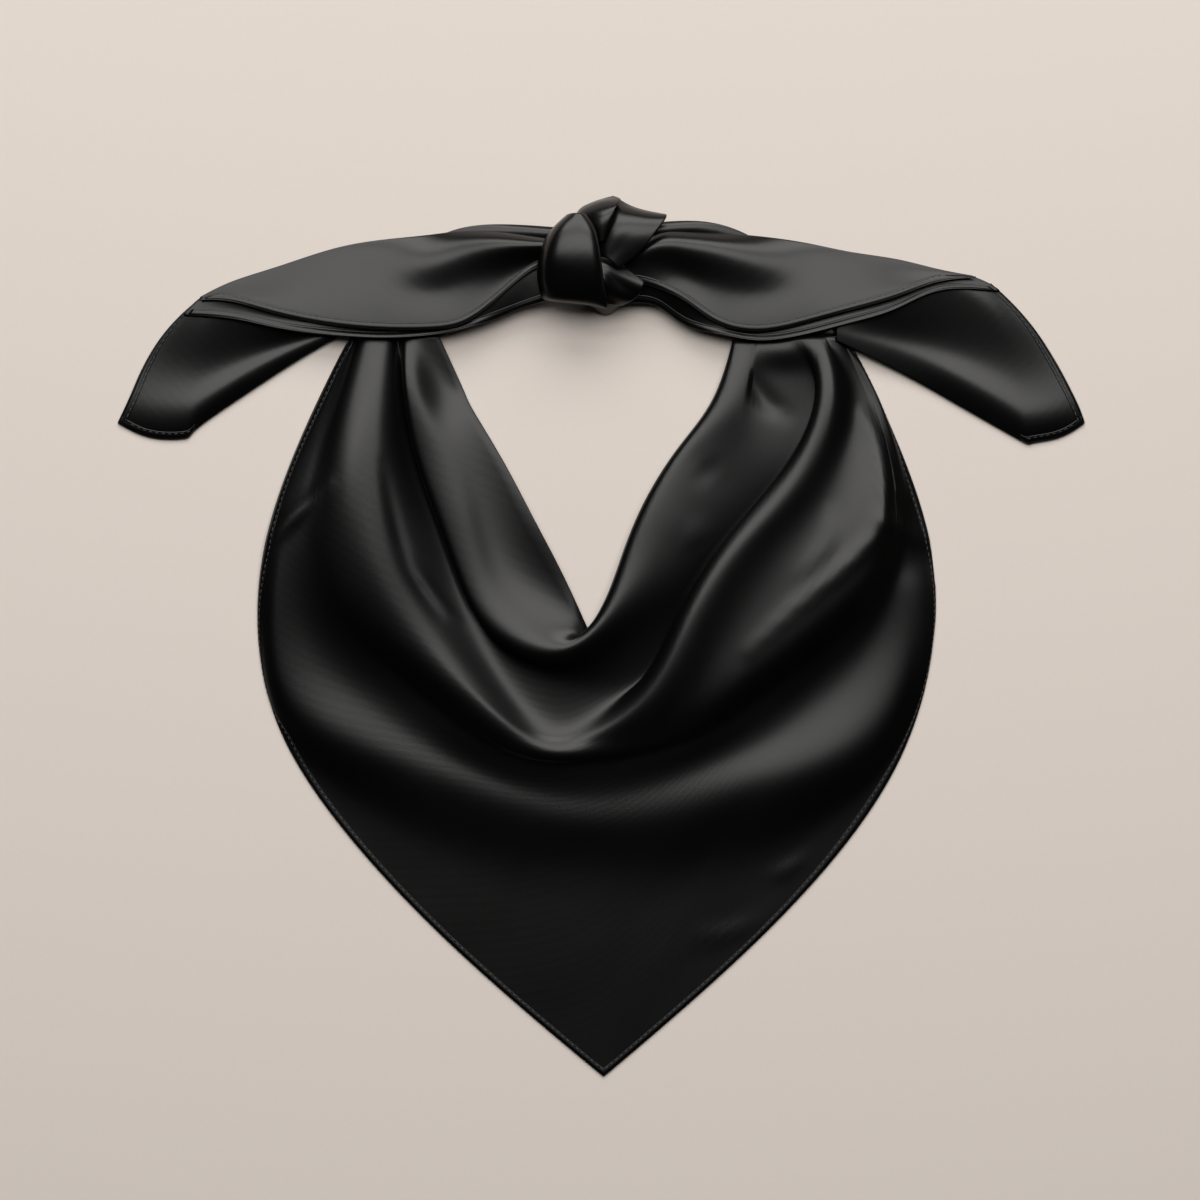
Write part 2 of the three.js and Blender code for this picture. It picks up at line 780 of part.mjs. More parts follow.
// The sheets of cloth, each with its folds and the number of steps along and across them.
const sheets = [
  { name: 'front_drape', folds: drapeFolds, columns: 40, rows: 35 },
  { name: 'neck_band_left', folds: leftBandFolds, columns: 10, rows: 10 },
  { name: 'neck_band_right', folds: rightBandFolds, columns: 10, rows: 10 },
  { name: 'tail_left', folds: leftTailFolds, columns: 18, rows: 10 },
  { name: 'tail_left_under', folds: leftUnderFolds, columns: 18, rows: 3 },
  { name: 'tail_left_end', folds: leftEndFolds, columns: 12, rows: 8 },
  { name: 'tail_right', folds: rightTailFolds, columns: 18, rows: 10 },
  { name: 'tail_right_under', folds: rightUnderFolds, columns: 18, rows: 3 },
  { name: 'tail_right_end', folds: rightEndFolds, columns: 12, rows: 8 },
  { name: 'knot_wrap', folds: wrapFolds, columns: 12, rows: 10 },
  { name: 'knot_loop', folds: loopFolds, columns: 8, rows: 8 },
  { name: 'knot_flap', folds: flapFolds, columns: 8, rows: 8 },
  { name: 'knot_folds', folds: crossFolds, columns: 6, rows: 8 },
  { name: 'knot_nub', folds: nubFolds, columns: 6, rows: 6 },
];

const neckerchief = new THREE.Group();
neckerchief.name = 'neckerchief';
for (const sheet of sheets) neckerchief.add(clothSheet(sheet));
neckerchief.add(packedCore('knot_core'));

export default neckerchief;
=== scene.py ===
"""Black satin neckerchief: a hemmed square folded corner to corner, tied and laid flat."""
import math

import bmesh
import bpy
import numpy as np
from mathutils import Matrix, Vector


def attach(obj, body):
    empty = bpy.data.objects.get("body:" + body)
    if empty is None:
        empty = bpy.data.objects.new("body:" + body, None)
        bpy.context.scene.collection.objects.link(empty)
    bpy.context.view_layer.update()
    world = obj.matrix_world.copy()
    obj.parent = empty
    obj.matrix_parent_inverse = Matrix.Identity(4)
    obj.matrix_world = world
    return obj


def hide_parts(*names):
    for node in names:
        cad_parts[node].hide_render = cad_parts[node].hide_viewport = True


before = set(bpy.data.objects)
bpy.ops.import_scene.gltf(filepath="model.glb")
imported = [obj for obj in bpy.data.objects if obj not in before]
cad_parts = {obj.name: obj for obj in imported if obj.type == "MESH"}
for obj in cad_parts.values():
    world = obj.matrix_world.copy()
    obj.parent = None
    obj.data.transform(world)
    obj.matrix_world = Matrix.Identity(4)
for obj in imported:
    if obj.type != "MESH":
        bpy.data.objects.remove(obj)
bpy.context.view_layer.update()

MM = 0.001

# Sizes of the whole neckerchief as it lies, the same as the solid's.
OVERALL_WIDTH = 410 * MM
OVERALL_HEIGHT = 373 * MM
PILE_HEIGHT = 29 * MM

# Where a layer of cloth lies inside the thickness of its solid.
CLOTH_UNDERSIDE = 0.25 * MM
CLOTH_TOP = 1.0 * MM

# Hem and sewing sizes.
HEM_WIDTH = 3.0 * MM
HEM_RISE = 0.12 * MM
SEWING_INSET = 2.3 * MM
STITCH_PITCH = 2.7 * MM
STITCH_LENGTH = 1.8 * MM
THREAD_RADIUS = 0.15 * MM

# The cloth packed inside the knot: its middle and its reach as shares of the overall width and
# height, and its own height.
CORE_PLACE = (-0.012, 0.432)
CORE_REACH = (0.026, 0.033)
CORE_HEIGHT = 13.7 * MM

# Columns of every table, in thousandths: across is a share of the overall width from the
# middle, up a share of the overall height from the middle, lift a share of the pile height.
# A row that turns has a sharp corner in its middle column.
#
# Rows of the front drape from the neckline to the outer hem, columns from the left shoulder
# round the low point to the right shoulder.
DRAPE_FOLDS = [
    {"fold": "neckline edge", "turns": True,
     "across": (-170, -145, -133, -102, -69, -39, -10, 20, 38, 57, 92, 128, 143),
     "up": (342, 282, 254, 197, 129, 65, -8, 36, 90, 145, 202, 259, 334),
     "lift": (83, 34, 76, 110, 152, 131, 69, 34, 34, 34, 34, 34, 69)},
    {"fold": "neckline panel",
     "across": (-182, -165, -149, -121, -95, -59, -22, 0, 15, 36, 67, 106, 131),
     "up": (339, 278, 232, 165, 96, 41, 3, 45, 97, 154, 211, 268, 334),
     "lift": (117, 41, 124, 97, 69, 90, 207, 221, 221, 221, 221, 166, 90)},
    {"fold": "first fold crest",
     "across": (-196, -192, -167, -145, -125, -94, -37, 13, 38, 63, 100, 131, 149),
     "up": (339, 279, 211, 145, 70, 15, -8, 40, 97, 152, 213, 264, 334),
     "lift": (145, 255, 248, 276, 290, 331, 372, 379, 324, 310, 283, 276, 138)},
    {"fold": "first fold outer side",
     "across": (-205, -207, -197, -173, -147, -112, -43, 26, 63, 102, 143, 154, 164),
     "up": (339, 279, 204, 127, 52, -3, -29, 17, 65, 127, 201, 260, 334),
     "lift": (103, 207, 228, 255, 290, 310, 317, 310, 317, 276, 214, 172, 117)},
    {"fold": "first fold tucked side",
     "across": (-209, -197, -182, -159, -134, -101, -33, 34, 79, 129, 181, 183, 178),
     "up": (339, 278, 199, 121, 47, -9, -36, -3, 42, 114, 194, 262, 334),
     "lift": (69, 69, 69, 83, 103, 138, 159, 186, 221, 200, 152, 117, 110)},
    {"fold": "first valley",
     "across": (-212, -204, -189, -164, -138, -97, -25, 48, 92, 142, 202, 232, 195),
     "up": (339, 276, 196, 114, 38, -24, -55, -47, 28, 111, 190, 269, 336),
     "lift": (55, 28, 28, 41, 69, 90, 97, 103, 138, 152, 110, 69, 103)},
    {"fold": "second fold inner side",
     "across": (-218, -215, -208, -184, -151, -93, -29, 37, 80, 131, 190, 221, 208),
     "up": (339, 273, 190, 102, 22, -65, -97, -55, 31, 114, 193, 269, 338),
     "lift": (110, 193, 234, 207, 152, 117, 110, 159, 214, 234, 200, 159, 138)},
    {"fold": "second fold crest",
     "across": (-227, -230, -229, -211, -167, -97, -32, 39, 82, 132, 191, 222, 221),
     "up": (339, 272, 184, 81, 1, -84, -112, -60, 28, 113, 191, 269, 338),
     "lift": (145, 276, 366, 379, 310, 221, 152, 290, 359, 345, 310, 276, 148)},
    {"fold": "second fold crown",
     "across": (-233, -238, -243, -223, -175, -100, -32, 49, 98, 146, 206, 239, 226),
     "up": (339, 272, 182, 73, -8, -91, -118, -72, 15, 100, 177, 269, 338),
     "lift": (145, 283, 400, 428, 355, 272, 190, 386, 469, 452, 414, 324, 145)},
    {"fold": "second fold flat",
     "across": (-238, -244, -256, -236, -183, -103, -33, 65, 120, 175, 234, 254, 232),
     "up": (339, 272, 181, 66, -16, -97, -124, -90, -11, 86, 168, 265, 338),
     "lift": (145, 283, 421, 462, 386, 317, 217, 317, 297, 276, 221, 152, 138)},
    {"fold": "second fold outer ridge",
     "across": (-245, -256, -275, -254, -195, -110, -32, 77, 160, 247, 282, 267, 241),
     "up": (339, 273, 176, 55, -26, -107, -133, -102, -38, 52, 154, 261, 338),
     "lift": (124, 255, 359, 414, 372, 310, 245, 269, 400, 414, 303, 110, 131)},
    {"fold": "second fold outer side",
     "across": (-249, -264, -284, -269, -205, -118, -31, 85, 168, 263, 293, 275, 245),
     "up": (339, 273, 170, 47, -36, -115, -141, -112, -53, 40, 147, 259, 338),
     "lift": (90, 214, 310, 345, 276, 241, 214, 228, 276, 310, 283, 90, 103)},
    {"fold": "second fold tucked side",
     "across": (-251, -268, -293, -277, -209, -121, -29, 90, 172, 270, 300, 279, 246),
     "up": (339, 273, 161, 41, -41, -118, -143, -118, -60, 32, 145, 259, 338),
     "lift": (69, 172, 269, 276, 193, 179, 159, 166, 186, 221, 241, 76, 90)},
    {"fold": "second valley side",
     "across": (-253, -272, -302, -289, -217, -127, -22, 97, 181, 276, 305, 283, 246),
     "up": (339, 275, 152, 33, -51, -129, -157, -127, -71, 24, 144, 260, 338),
     "lift": (59, 145, 234, 200, 152, 145, 131, 152, 145, 166, 193, 66, 86)},
    {"fold": "second valley",
     "across": (-254, -276, -313, -310, -240, -137, -12, 110, 203, 288, 310, 285, 247),
     "up": (339, 276, 144, 13, -74, -149, -183, -146, -90, 12, 143, 262, 338),
     "lift": (52, 117, 207, 124, 83, 83, 83, 76, 69, 90, 145, 59, 79)},
    {"fold": "third fold crest",
     "across": (-255, -280, -324, -335, -283, -151, -2, 137, 263, 311, 315, 286, 248),
     "up": (339, 277, 138, -24, -113, -174, -215, -185, -132, -8, 144, 265, 338),
     "lift": (48, 93, 172, 172, 241, 166, 138, 221, 290, 145, 103, 52, 62)},
    {"fold": "third valley",
     "across": (-256, -282, -332, -346, -300, -163, 0, 160, 281, 330, 319, 285, 248),
     "up": (339, 278, 133, -30, -134, -224, -262, -235, -150, -12, 146, 268, 339),
     "lift": (41, 66, 138, 69, 55, 10, 0, 10, 55, 69, 69, 48, 55)},
    {"fold": "flat cloth",
     "across": (-257, -284, -337, -349, -306, -169, 0, 168, 290, 338, 322, 283, 249),
     "up": (341, 279, 131, -25, -141, -269, -335, -278, -153, -5, 148, 271, 341),
     "lift": (34, 45, 110, 31, 14, 0, 0, 0, 14, 28, 45, 34, 52)},
    {"fold": "flat cloth by the hem", "turns": True,
     "across": (-257, -285, -339, -352, -310, -175, 1, 171, 295, 342, 324, 281, 249),
     "up": (341, 280, 131, -17, -146, -301, -415, -307, -154, 6, 151, 276, 341),
     "lift": (34, 31, 90, 10, 0, 0, 0, 0, 3, 10, 28, 28, 34)},
    {"fold": "outer hem", "turns": True,
     "across": (-258, -286, -340, -353, -312, -178, 2, 174, 302, 344, 327, 280, 249),
     "up": (342, 281, 131, -11, -150, -327, -501, -332, -153, 17, 154, 279, 342),
     "lift": (34, 21, 69, 0, 0, 0, 0, 0, 0, 0, 14, 21, 34)},
]

# Rows of a tail's upper layer from its folded top to its hem, columns from the knot outward.
LEFT_TAIL_FOLDS = [
    {"fold": "folded top edge",
     "across": (-47, -74, -105, -141, -178, -224, -276, -333, -380, -414),
     "up": (446, 450, 455, 457, 453, 448, 438, 418, 401, 383),
     "lift": (379, 379, 293, 186, 162, 183, 193, 193, 228, 228)},
    {"fold": "top roll",
     "across": (-47, -74, -105, -141, -178, -224, -276, -333, -380, -413),
     "up": (445, 446, 450, 450, 445, 439, 430, 412, 397, 382),
     "lift": (483, 500, 448, 331, 234, 228, 217, 210, 238, 231)},
    {"fold": "upper slope",
     "across": (-47, -74, -105, -141, -178, -224, -276, -333, -380, -412),
     "up": (441, 439, 437, 432, 424, 420, 413, 400, 392, 381),
     "lift": (517, 534, 500, 428, 376, 269, 255, 248, 255, 238)},
    {"fold": "middle",
     "across": (-47, -74, -105, -141, -178, -224, -276, -333, -380, -411),
     "up": (434, 429, 418, 402, 391, 394, 393, 387, 387, 381),
     "lift": (448, 414, 372, 310, 286, 307, 297, 293, 272, 245)},
    {"fold": "lower slope",
     "across": (-47, -74, -105, -141, -178, -224, -276, -333, -380, -412),
     "up": (428, 419, 397, 375, 368, 368, 370, 375, 382, 381),
     "lift": (397, 379, 362, 359, 355, 348, 343, 328, 290, 248)},
    {"fold": "hem",
     "across": (-47, -74, -106, -141, -178, -224, -276, -333, -380, -415),
     "up": (424, 412, 383, 355, 347, 347, 352, 364, 378, 380),
     "lift": (386, 400, 393, 379, 369, 366, 362, 341, 300, 248)},
]

# The same rows for the right tail.
RIGHT_TAIL_FOLDS = [
    {"fold": "folded top edge",
     "across": (21, 55, 86, 123, 164, 211, 257, 304, 345, 383),
     "up": (425, 451, 455, 454, 451, 444, 434, 426, 415, 407),
     "lift": (293, 362, 310, 221, 183, 183, 193, 193, 228, 228)},
    {"fold": "top roll",
     "across": (21, 54, 86, 123, 164, 211, 257, 304, 345, 382),
     "up": (424, 446, 450, 447, 443, 436, 427, 420, 412, 406),
     "lift": (372, 476, 431, 372, 276, 231, 217, 210, 238, 231)},
    {"fold": "upper slope",
     "across": (21, 54, 86, 123, 164, 211, 257, 304, 345, 381),
     "up": (420, 438, 438, 432, 425, 419, 413, 411, 409, 406),
     "lift": (393, 510, 500, 462, 397, 276, 255, 248, 255, 238)},
    {"fold": "middle",
     "across": (21, 52, 86, 123, 164, 211, 257, 304, 345, 380),
     "up": (416, 425, 413, 397, 389, 395, 397, 401, 406, 406),
     "lift": (379, 448, 355, 321, 307, 317, 300, 293, 272, 245)},
    {"fold": "lower slope",
     "across": (21, 50, 86, 123, 164, 211, 257, 304, 345, 381),
     "up": (410, 410, 397, 376, 367, 372, 381, 392, 403, 405),
     "lift": (359, 414, 366, 359, 366, 355, 343, 328, 290, 248)},
    {"fold": "hem",
     "across": (21, 50, 86, 120, 164, 211, 257, 304, 345, 386),
     "up": (403, 397, 379, 354, 345, 355, 369, 384, 400, 405),
     "lift": (345, 407, 407, 386, 379, 369, 362, 341, 300, 248)},
]

# Rows of a tail's second layer, which shows as a strip below the first hem.
LEFT_UNDER_FOLDS = [
    {"fold": "inner edge",
     "across": (-47, -74, -102, -141, -178, -224, -276, -333, -380, -413),
     "up": (418, 414, 392, 372, 364, 363, 368, 376, 385, 383),
     "lift": (293, 297, 297, 297, 293, 286, 276, 255, 217, 145)},
    {"fold": "inner strip",
     "across": (-48, -76, -104, -141, -178, -224, -276, -333, -380, -416),
     "up": (408, 401, 383, 367, 359, 356, 362, 370, 380, 381),
     "lift": (307, 300, 297, 293, 286, 283, 276, 266, 221, 145)},
    {"fold": "outer strip",
     "across": (-50, -80, -108, -141, -178, -224, -276, -333, -380, -422),
     "up": (394, 383, 371, 358, 350, 347, 351, 360, 371, 376),
     "lift": (321, 283, 283, 241, 221, 207, 197, 190, 186, 148)},
    {"fold": "hem",
     "across": (-51, -84, -108, -141, -178, -224, -276, -333, -380, -432),
     "up": (383, 372, 361, 348, 340, 337, 340, 348, 359, 364),
     "lift": (293, 259, 262, 290, 290, 303, 293, 269, 228, 145)},
]

# The same rows for the right tail.
RIGHT_UNDER_FOLDS = [
    {"fold": "inner edge",
     "across": (21, 55, 86, 118, 164, 211, 257, 304, 345, 384),
     "up": (409, 404, 384, 369, 361, 369, 380, 393, 405, 405),
     "lift": (297, 303, 303, 297, 293, 286, 276, 255, 217, 145)},
    {"fold": "inner strip",
     "across": (23, 56, 86, 119, 164, 211, 257, 304, 345, 390),
     "up": (400, 395, 377, 362, 355, 363, 376, 389, 403, 404),
     "lift": (283, 283, 290, 293, 286, 283, 276, 266, 221, 145)},
    {"fold": "outer strip",
     "across": (25, 57, 86, 122, 164, 211, 257, 304, 347, 400),
     "up": (386, 380, 366, 351, 344, 351, 364, 379, 397, 400),
     "lift": (255, 241, 248, 241, 221, 207, 197, 190, 186, 148)},
    {"fold": "hem",
     "across": (27, 57, 86, 124, 164, 211, 257, 304, 350, 411),
     "up": (378, 375, 354, 341, 334, 341, 354, 370, 391, 391),
     "lift": (234, 221, 221, 290, 290, 303, 293, 272, 228, 145)},
]

# Rows of a tail's hanging end from its top to its lower edge, columns outward to the corner.
LEFT_END_FOLDS = [
    {"fold": "upper edge",
     "across": (-263, -309, -352, -385, -401, -411, -417),
     "up": (366, 370, 376, 379, 379, 380, 380),
     "lift": (166, 166, 152, 134, 103, 97, 90)},
    {"fold": "hollow",
     "across": (-264, -311, -358, -397, -417, -433, -447),
     "up": (359, 356, 354, 354, 358, 361, 354),
     "lift": (145, 138, 124, 114, 103, 83, 55)},
    {"fold": "middle",
     "across": (-265, -312, -362, -405, -426, -453, -473),
     "up": (352, 341, 325, 312, 311, 312, 310),
     "lift": (90, 62, 41, 31, 31, 31, 28)},
    {"fold": "swell",
     "across": (-266, -313, -367, -412, -432, -461, -483),
     "up": (348, 331, 306, 280, 275, 276, 281),
     "lift": (69, 59, 59, 62, 62, 59, 41)},
    {"fold": "lower slope",
     "across": (-267, -314, -368, -416, -432, -464, -493),
     "up": (346, 325, 293, 257, 245, 245, 257),
     "lift": (69, 79, 107, 114, 107, 83, 38)},
    {"fold": "lower edge",
     "across": (-268, -315, -371, -420, -432, -466, -500),
     "up": (343, 314, 274, 236, 225, 226, 242),
     "lift": (69, 34, 21, 14, 10, 7, 7)},
]

# The same rows for the right tail.
RIGHT_END_FOLDS = [
    {"fold": "upper edge",
     "across": (243, 302, 342, 371, 388, 397, 402),
     "up": (375, 385, 393, 395, 397, 398, 399),
     "lift": (186, 166, 152, 134, 103, 97, 90)},
    {"fold": "hollow",
     "across": (243, 304, 352, 395, 414, 427, 437),
     "up": (367, 369, 372, 372, 371, 370, 366),
     "lift": (186, 145, 124, 114, 103, 83, 55)},
    {"fold": "middle",
     "across": (243, 307, 363, 414, 435, 454, 468),
     "up": (356, 346, 331, 315, 311, 313, 315),
     "lift": (186, 83, 41, 31, 31, 31, 28)},
    {"fold": "swell",
     "across": (243, 308, 369, 419, 440, 466, 484),
     "up": (347, 330, 305, 276, 267, 271, 280),
     "lift": (186, 79, 69, 72, 72, 66, 41)},
    {"fold": "lower slope",
     "across": (243, 310, 371, 425, 443, 471, 495),
     "up": (341, 318, 287, 251, 240, 244, 256),
     "lift": (186, 97, 121, 131, 124, 90, 38)},
    {"fold": "lower edge",
     "across": (243, 312, 374, 432, 446, 473, 499),
     "up": (335, 298, 260, 224, 220, 226, 242),
     "lift": (179, 55, 21, 14, 10, 7, 7)},
]

# Rows of a gathered neck band from its outer to its inner edge, columns from the shoulder
# to the knot.
LEFT_BAND_FOLDS = [
    {"fold": "outer edge",
     "across": (-257, -242, -209, -159, -105, -47),
     "up": (344, 381, 422, 457, 465, 461),
     "lift": (28, 34, 41, 86, 155, 224)},
    {"fold": "outer pleat",
     "across": (-248, -231, -198, -153, -103, -47),
     "up": (344, 378, 416, 449, 460, 457),
     "lift": (86, 97, 97, 117, 207, 293)},
    {"fold": "first groove",
     "across": (-231, -217, -188, -147, -100, -47),
     "up": (344, 372, 403, 434, 449, 449),
     "lift": (55, 55, 55, 69, 155, 241)},
    {"fold": "middle pleat",
     "across": (-213, -200, -176, -138, -95, -47),
     "up": (344, 367, 392, 418, 435, 439),
     "lift": (103, 110, 110, 138, 207, 259)},
    {"fold": "second groove",
     "across": (-194, -184, -162, -128, -89, -47),
     "up": (344, 361, 380, 402, 421, 430),
     "lift": (55, 55, 55, 86, 155, 207)},
    {"fold": "inner edge",
     "across": (-171, -165, -147, -116, -82, -47),
     "up": (344, 356, 369, 387, 408, 421),
     "lift": (69, 76, 76, 103, 155, 190)},
]

# The same rows for the right band.
RIGHT_BAND_FOLDS = [
    {"fold": "outer edge",
     "across": (248, 232, 200, 156, 107, 50),
     "up": (342, 376, 416, 451, 468, 466),
     "lift": (28, 34, 41, 86, 172, 224)},
    {"fold": "outer pleat",
     "across": (237, 222, 190, 148, 105, 50),
     "up": (342, 373, 410, 443, 462, 461),
     "lift": (86, 97, 97, 124, 224, 293)},
    {"fold": "first groove",
     "across": (218, 203, 174, 139, 102, 50),
     "up": (342, 369, 401, 430, 452, 452),
     "lift": (55, 55, 55, 69, 155, 241)},
    {"fold": "middle pleat",
     "across": (195, 183, 158, 129, 98, 50),
     "up": (342, 364, 391, 418, 439, 442),
     "lift": (103, 110, 110, 138, 207, 259)},
    {"fold": "second groove",
     "across": (172, 162, 141, 114, 92, 50),
     "up": (341, 360, 381, 405, 425, 432),
     "lift": (55, 55, 55, 86, 155, 207)},
    {"fold": "inner edge",
     "across": (145, 139, 120, 100, 83, 50),
     "up": (339, 353, 369, 388, 408, 421),
     "lift": (69, 76, 76, 103, 155, 190)},
]

# Rows of the wrap over the knot from left to right, columns from top to bottom.
WRAP_FOLDS = [
    {"fold": "left edge",
     "across": (-34, -45, -55, -62, -64, -59, -55),
     "up": (474, 463, 449, 429, 404, 383, 391),
     "lift": (600, 621, 621, 607, 566, 503, 400)},
    {"fold": "left side",
     "across": (-32, -43, -53, -59, -60, -54, -52),
     "up": (474, 463, 447, 426, 402, 381, 389),
     "lift": (710, 786, 834, 834, 769, 641, 386)},
    {"fold": "middle",
     "across": (-28, -34, -39, -42, -40, -37, -36),
     "up": (475, 462, 444, 421, 399, 379, 387),
     "lift": (766, 841, 897, 903, 834, 690, 324)},
    {"fold": "crest",
     "across": (-23, -21, -20, -20, -19, -18, -18),
     "up": (475, 461, 443, 420, 395, 377, 385),
     "lift": (779, 855, 917, 924, 845, 683, 462)},
    {"fold": "right side",
     "across": (-20, -12, -8, -6, -3, -2, -2),
     "up": (474, 460, 443, 420, 395, 375, 378),
     "lift": (766, 848, 910, 917, 828, 655, 531)},
    {"fold": "right edge",
     "across": (-17, -9, -5, -2, 1, 5, 4),
     "up": (473, 459, 442, 420, 396, 373, 376),
     "lift": (731, 793, 848, 848, 759, 621, 538)},
]

# Rows of the loop at the top of the knot, columns from its outer end inward.
LOOP_FOLDS = [
    {"fold": "left edge",
     "across": (-24, -21, -14, -10, -6),
     "up": (477, 474, 463, 453, 442),
     "lift": (328, 503, 607, 638, 638)},
    {"fold": "left side",
     "across": (-22, -16, -10, -6, -4),
     "up": (482, 479, 470, 458, 443),
     "lift": (331, 538, 662, 683, 655)},
    {"fold": "middle",
     "across": (-14, -7, -2, -1, -2),
     "up": (487, 485, 476, 462, 444),
     "lift": (324, 538, 690, 724, 672)},
    {"fold": "right side",
     "across": (-2, 5, 7, 5, -1),
     "up": (492, 490, 480, 466, 445),
     "lift": (317, 531, 690, 731, 697)},
    {"fold": "right edge",
     "across": (12, 19, 14, 8, 1),
     "up": (496, 491, 483, 467, 446),
     "lift": (310, 510, 662, 710, 690)},
]

# Rows of the flap at the upper right of the knot, columns from top to bottom.
FLAP_FOLDS = [
    {"fold": "inner edge",
     "across": (17, 12, 4, -4, -9),
     "up": (493, 482, 466, 449, 434),
     "lift": (297, 497, 566, 545, 524)},
    {"fold": "inner side",
     "across": (26, 23, 16, 8, 1),
     "up": (486, 478, 462, 445, 430),
     "lift": (338, 545, 662, 648, 600)},
    {"fold": "middle",
     "across": (38, 36, 29, 19, 8),
     "up": (481, 475, 458, 441, 426),
     "lift": (352, 552, 659, 652, 614)},
    {"fold": "outer side",
     "across": (50, 49, 41, 28, 13),
     "up": (478, 471, 455, 437, 421),
     "lift": (366, 545, 641, 655, 634)},
    {"fold": "outer edge",
     "across": (65, 65, 54, 39, 17),
     "up": (475, 471, 455, 435, 416),
     "lift": (372, 510, 607, 621, 614)},
]

# Rows of the crossing folds at the lower right of the knot, columns outward.
CROSS_FOLDS = [
    {"fold": "upper edge",
     "across": (-10, 7, 23, 43),
     "up": (429, 424, 416, 399),
     "lift": (497, 497, 483, 490)},
    {"fold": "upper fold",
     "across": (-8, 7, 21, 41),
     "up": (422, 417, 408, 393),
     "lift": (614, 603, 566, 514)},
    {"fold": "crease",
     "across": (-6, 5, 17, 38),
     "up": (414, 409, 399, 386),
     "lift": (600, 579, 517, 441)},
    {"fold": "lower fold",
     "across": (-5, 2, 12, 31),
     "up": (405, 400, 389, 381),
     "lift": (648, 655, 579, 441)},
    {"fold": "lower side",
     "across": (-3, 1, 8, 25),
     "up": (395, 389, 383, 378),
     "lift": (552, 545, 469, 393)},
    {"fold": "lower edge",
     "across": (-2, 1, 6, 21),
     "up": (385, 381, 377, 376),
     "lift": (403, 428, 421, 338)},
]

# Rows of the turned end at the bottom of the knot, columns from left to right.
NUB_FOLDS = [
    {"fold": "upper edge",
     "across": (-18, -5, 8, 21),
     "up": (384, 381, 381, 384),
     "lift": (383, 362, 359, 303)},
    {"fold": "upper side",
     "across": (-16, -4, 8, 20),
     "up": (379, 376, 376, 379),
     "lift": (310, 324, 317, 262)},
    {"fold": "lower side",
     "across": (-14, -4, 7, 17),
     "up": (376, 372, 370, 376),
     "lift": (155, 190, 207, 172)},
    {"fold": "lower edge",
     "across": (-11, -4, 6, 15),
     "up": (376, 371, 367, 375),
     "lift": (34, 34, 34, 34)},
]

# Small creases and dents, each along a line: its columns are in thousandths as above, its width
# and rise are in millimetres, and it bends only the rows between two shares of the way across.
DRAPE_CREASES = [
    {"crease": "outer panel ridge",
     "across": (-283, -306, -322, -340, -352),
     "up": (172, 146, 131, 111, 95),
     "width": 3.2, "rise": 1.1, "rows": (0.5, 1)},
    {"crease": "outer ridge",
     "across": (270, 286, 291, 288, 274, 247, 218, 185, 154),
     "up": (251, 211, 165, 131, 103, 74, 47, 15, -17),
     "width": 3.6, "rise": 0.9, "rows": (0.38, 0.68)},
    {"crease": "groove beside the second fold",
     "across": (-225, -217, -204, -186, -169),
     "up": (193, 143, 91, 52, 24),
     "width": 3.0, "rise": -0.5, "rows": (0.2, 0.6)},
    {"crease": "pinch beside the second fold",
     "across": (-205, -191, -169, -152),
     "up": (95, 71, 39, 19),
     "width": 2.6, "rise": 0.4, "rows": (0.2, 0.6)},
    {"crease": "shelf of the right shoulder",
     "across": (154, 190, 221),
     "up": (322, 323, 325),
     "width": 6.0, "rise": 1.2, "rows": (0.1, 0.45)},
    {"crease": "crease by the right shoulder",
     "across": (141, 156, 171, 187),
     "up": (306, 286, 265, 252),
     "width": 4.5, "rise": -0.8, "rows": (0.1, 0.45)},
    {"crease": "swell in the trough",
     "across": (236, 232, 207),
     "up": (137, 103, 69),
     "width": 3.6, "rise": 0.5, "rows": (0.4, 0.7)},
    {"crease": "branch of the outer ridge",
     "across": (288, 309, 340),
     "up": (131, 120, 107),
     "width": 3.4, "rise": 1.0, "rows": (0.5, 1)},
    {"crease": "hollow under the branch",
     "across": (280, 309, 350),
     "up": (80, 82, 80),
     "width": 8.0, "rise": -0.6, "rows": (0.5, 1)},
    {"crease": "patch on the right panel",
     "across": (85, 96, 104),
     "up": (122, 114, 103),
     "width": 7.0, "rise": 0.25, "rows": (0, 0.45)},
    {"crease": "dent in the right panel",
     "across": (102, 109, 118),
     "up": (193, 186, 177),
     "width": 7.0, "rise": -0.3, "rows": (0, 0.45)},
    {"crease": "pucker near the right hem",
     "across": (102, 127, 156),
     "up": (-340, -340, -326),
     "width": 3.4, "rise": 0.4, "rows": (0.7, 1)},
    {"crease": "second pucker near the right hem",
     "across": (176, 192, 207),
     "up": (-269, -267, -253),
     "width": 3.4, "rise": 0.4, "rows": (0.7, 1)},
    {"crease": "arc above the low point",
     "across": (-43, 1, 50),
     "up": (-431, -444, -429),
     "width": 6.0, "rise": -0.4, "rows": (0.7, 1)},
]


# Shaping the cloth

# Steps of each mesh, along its folds and across them. The drape's last steps across are finer,
# because its hem and stitches follow them.
DRAPE_STEPS = 216
DRAPE_EVEN_SHARE = 0.985
DRAPE_EVEN_PLACES = 150
DRAPE_HEM_PLACES = (0.9885, 0.9915, 0.994, 0.996, 0.998, 1)
BAND_STEPS = (60, 50)
TAIL_STEPS = (120, 70)
UNDER_STEPS = (120, 24)
END_STEPS = (110, 70)
KNOT_STEPS = (48, 48)

# Points along a crease, and how far inside a half wave its two ends lie.
CREASE_SAMPLES = 40
CREASE_FADE = 0.1

# Keeps a length of zero from being divided by, and the last place inside the last span.
TINY = 1e-12
LAST_PLACE = 1 - 1e-9


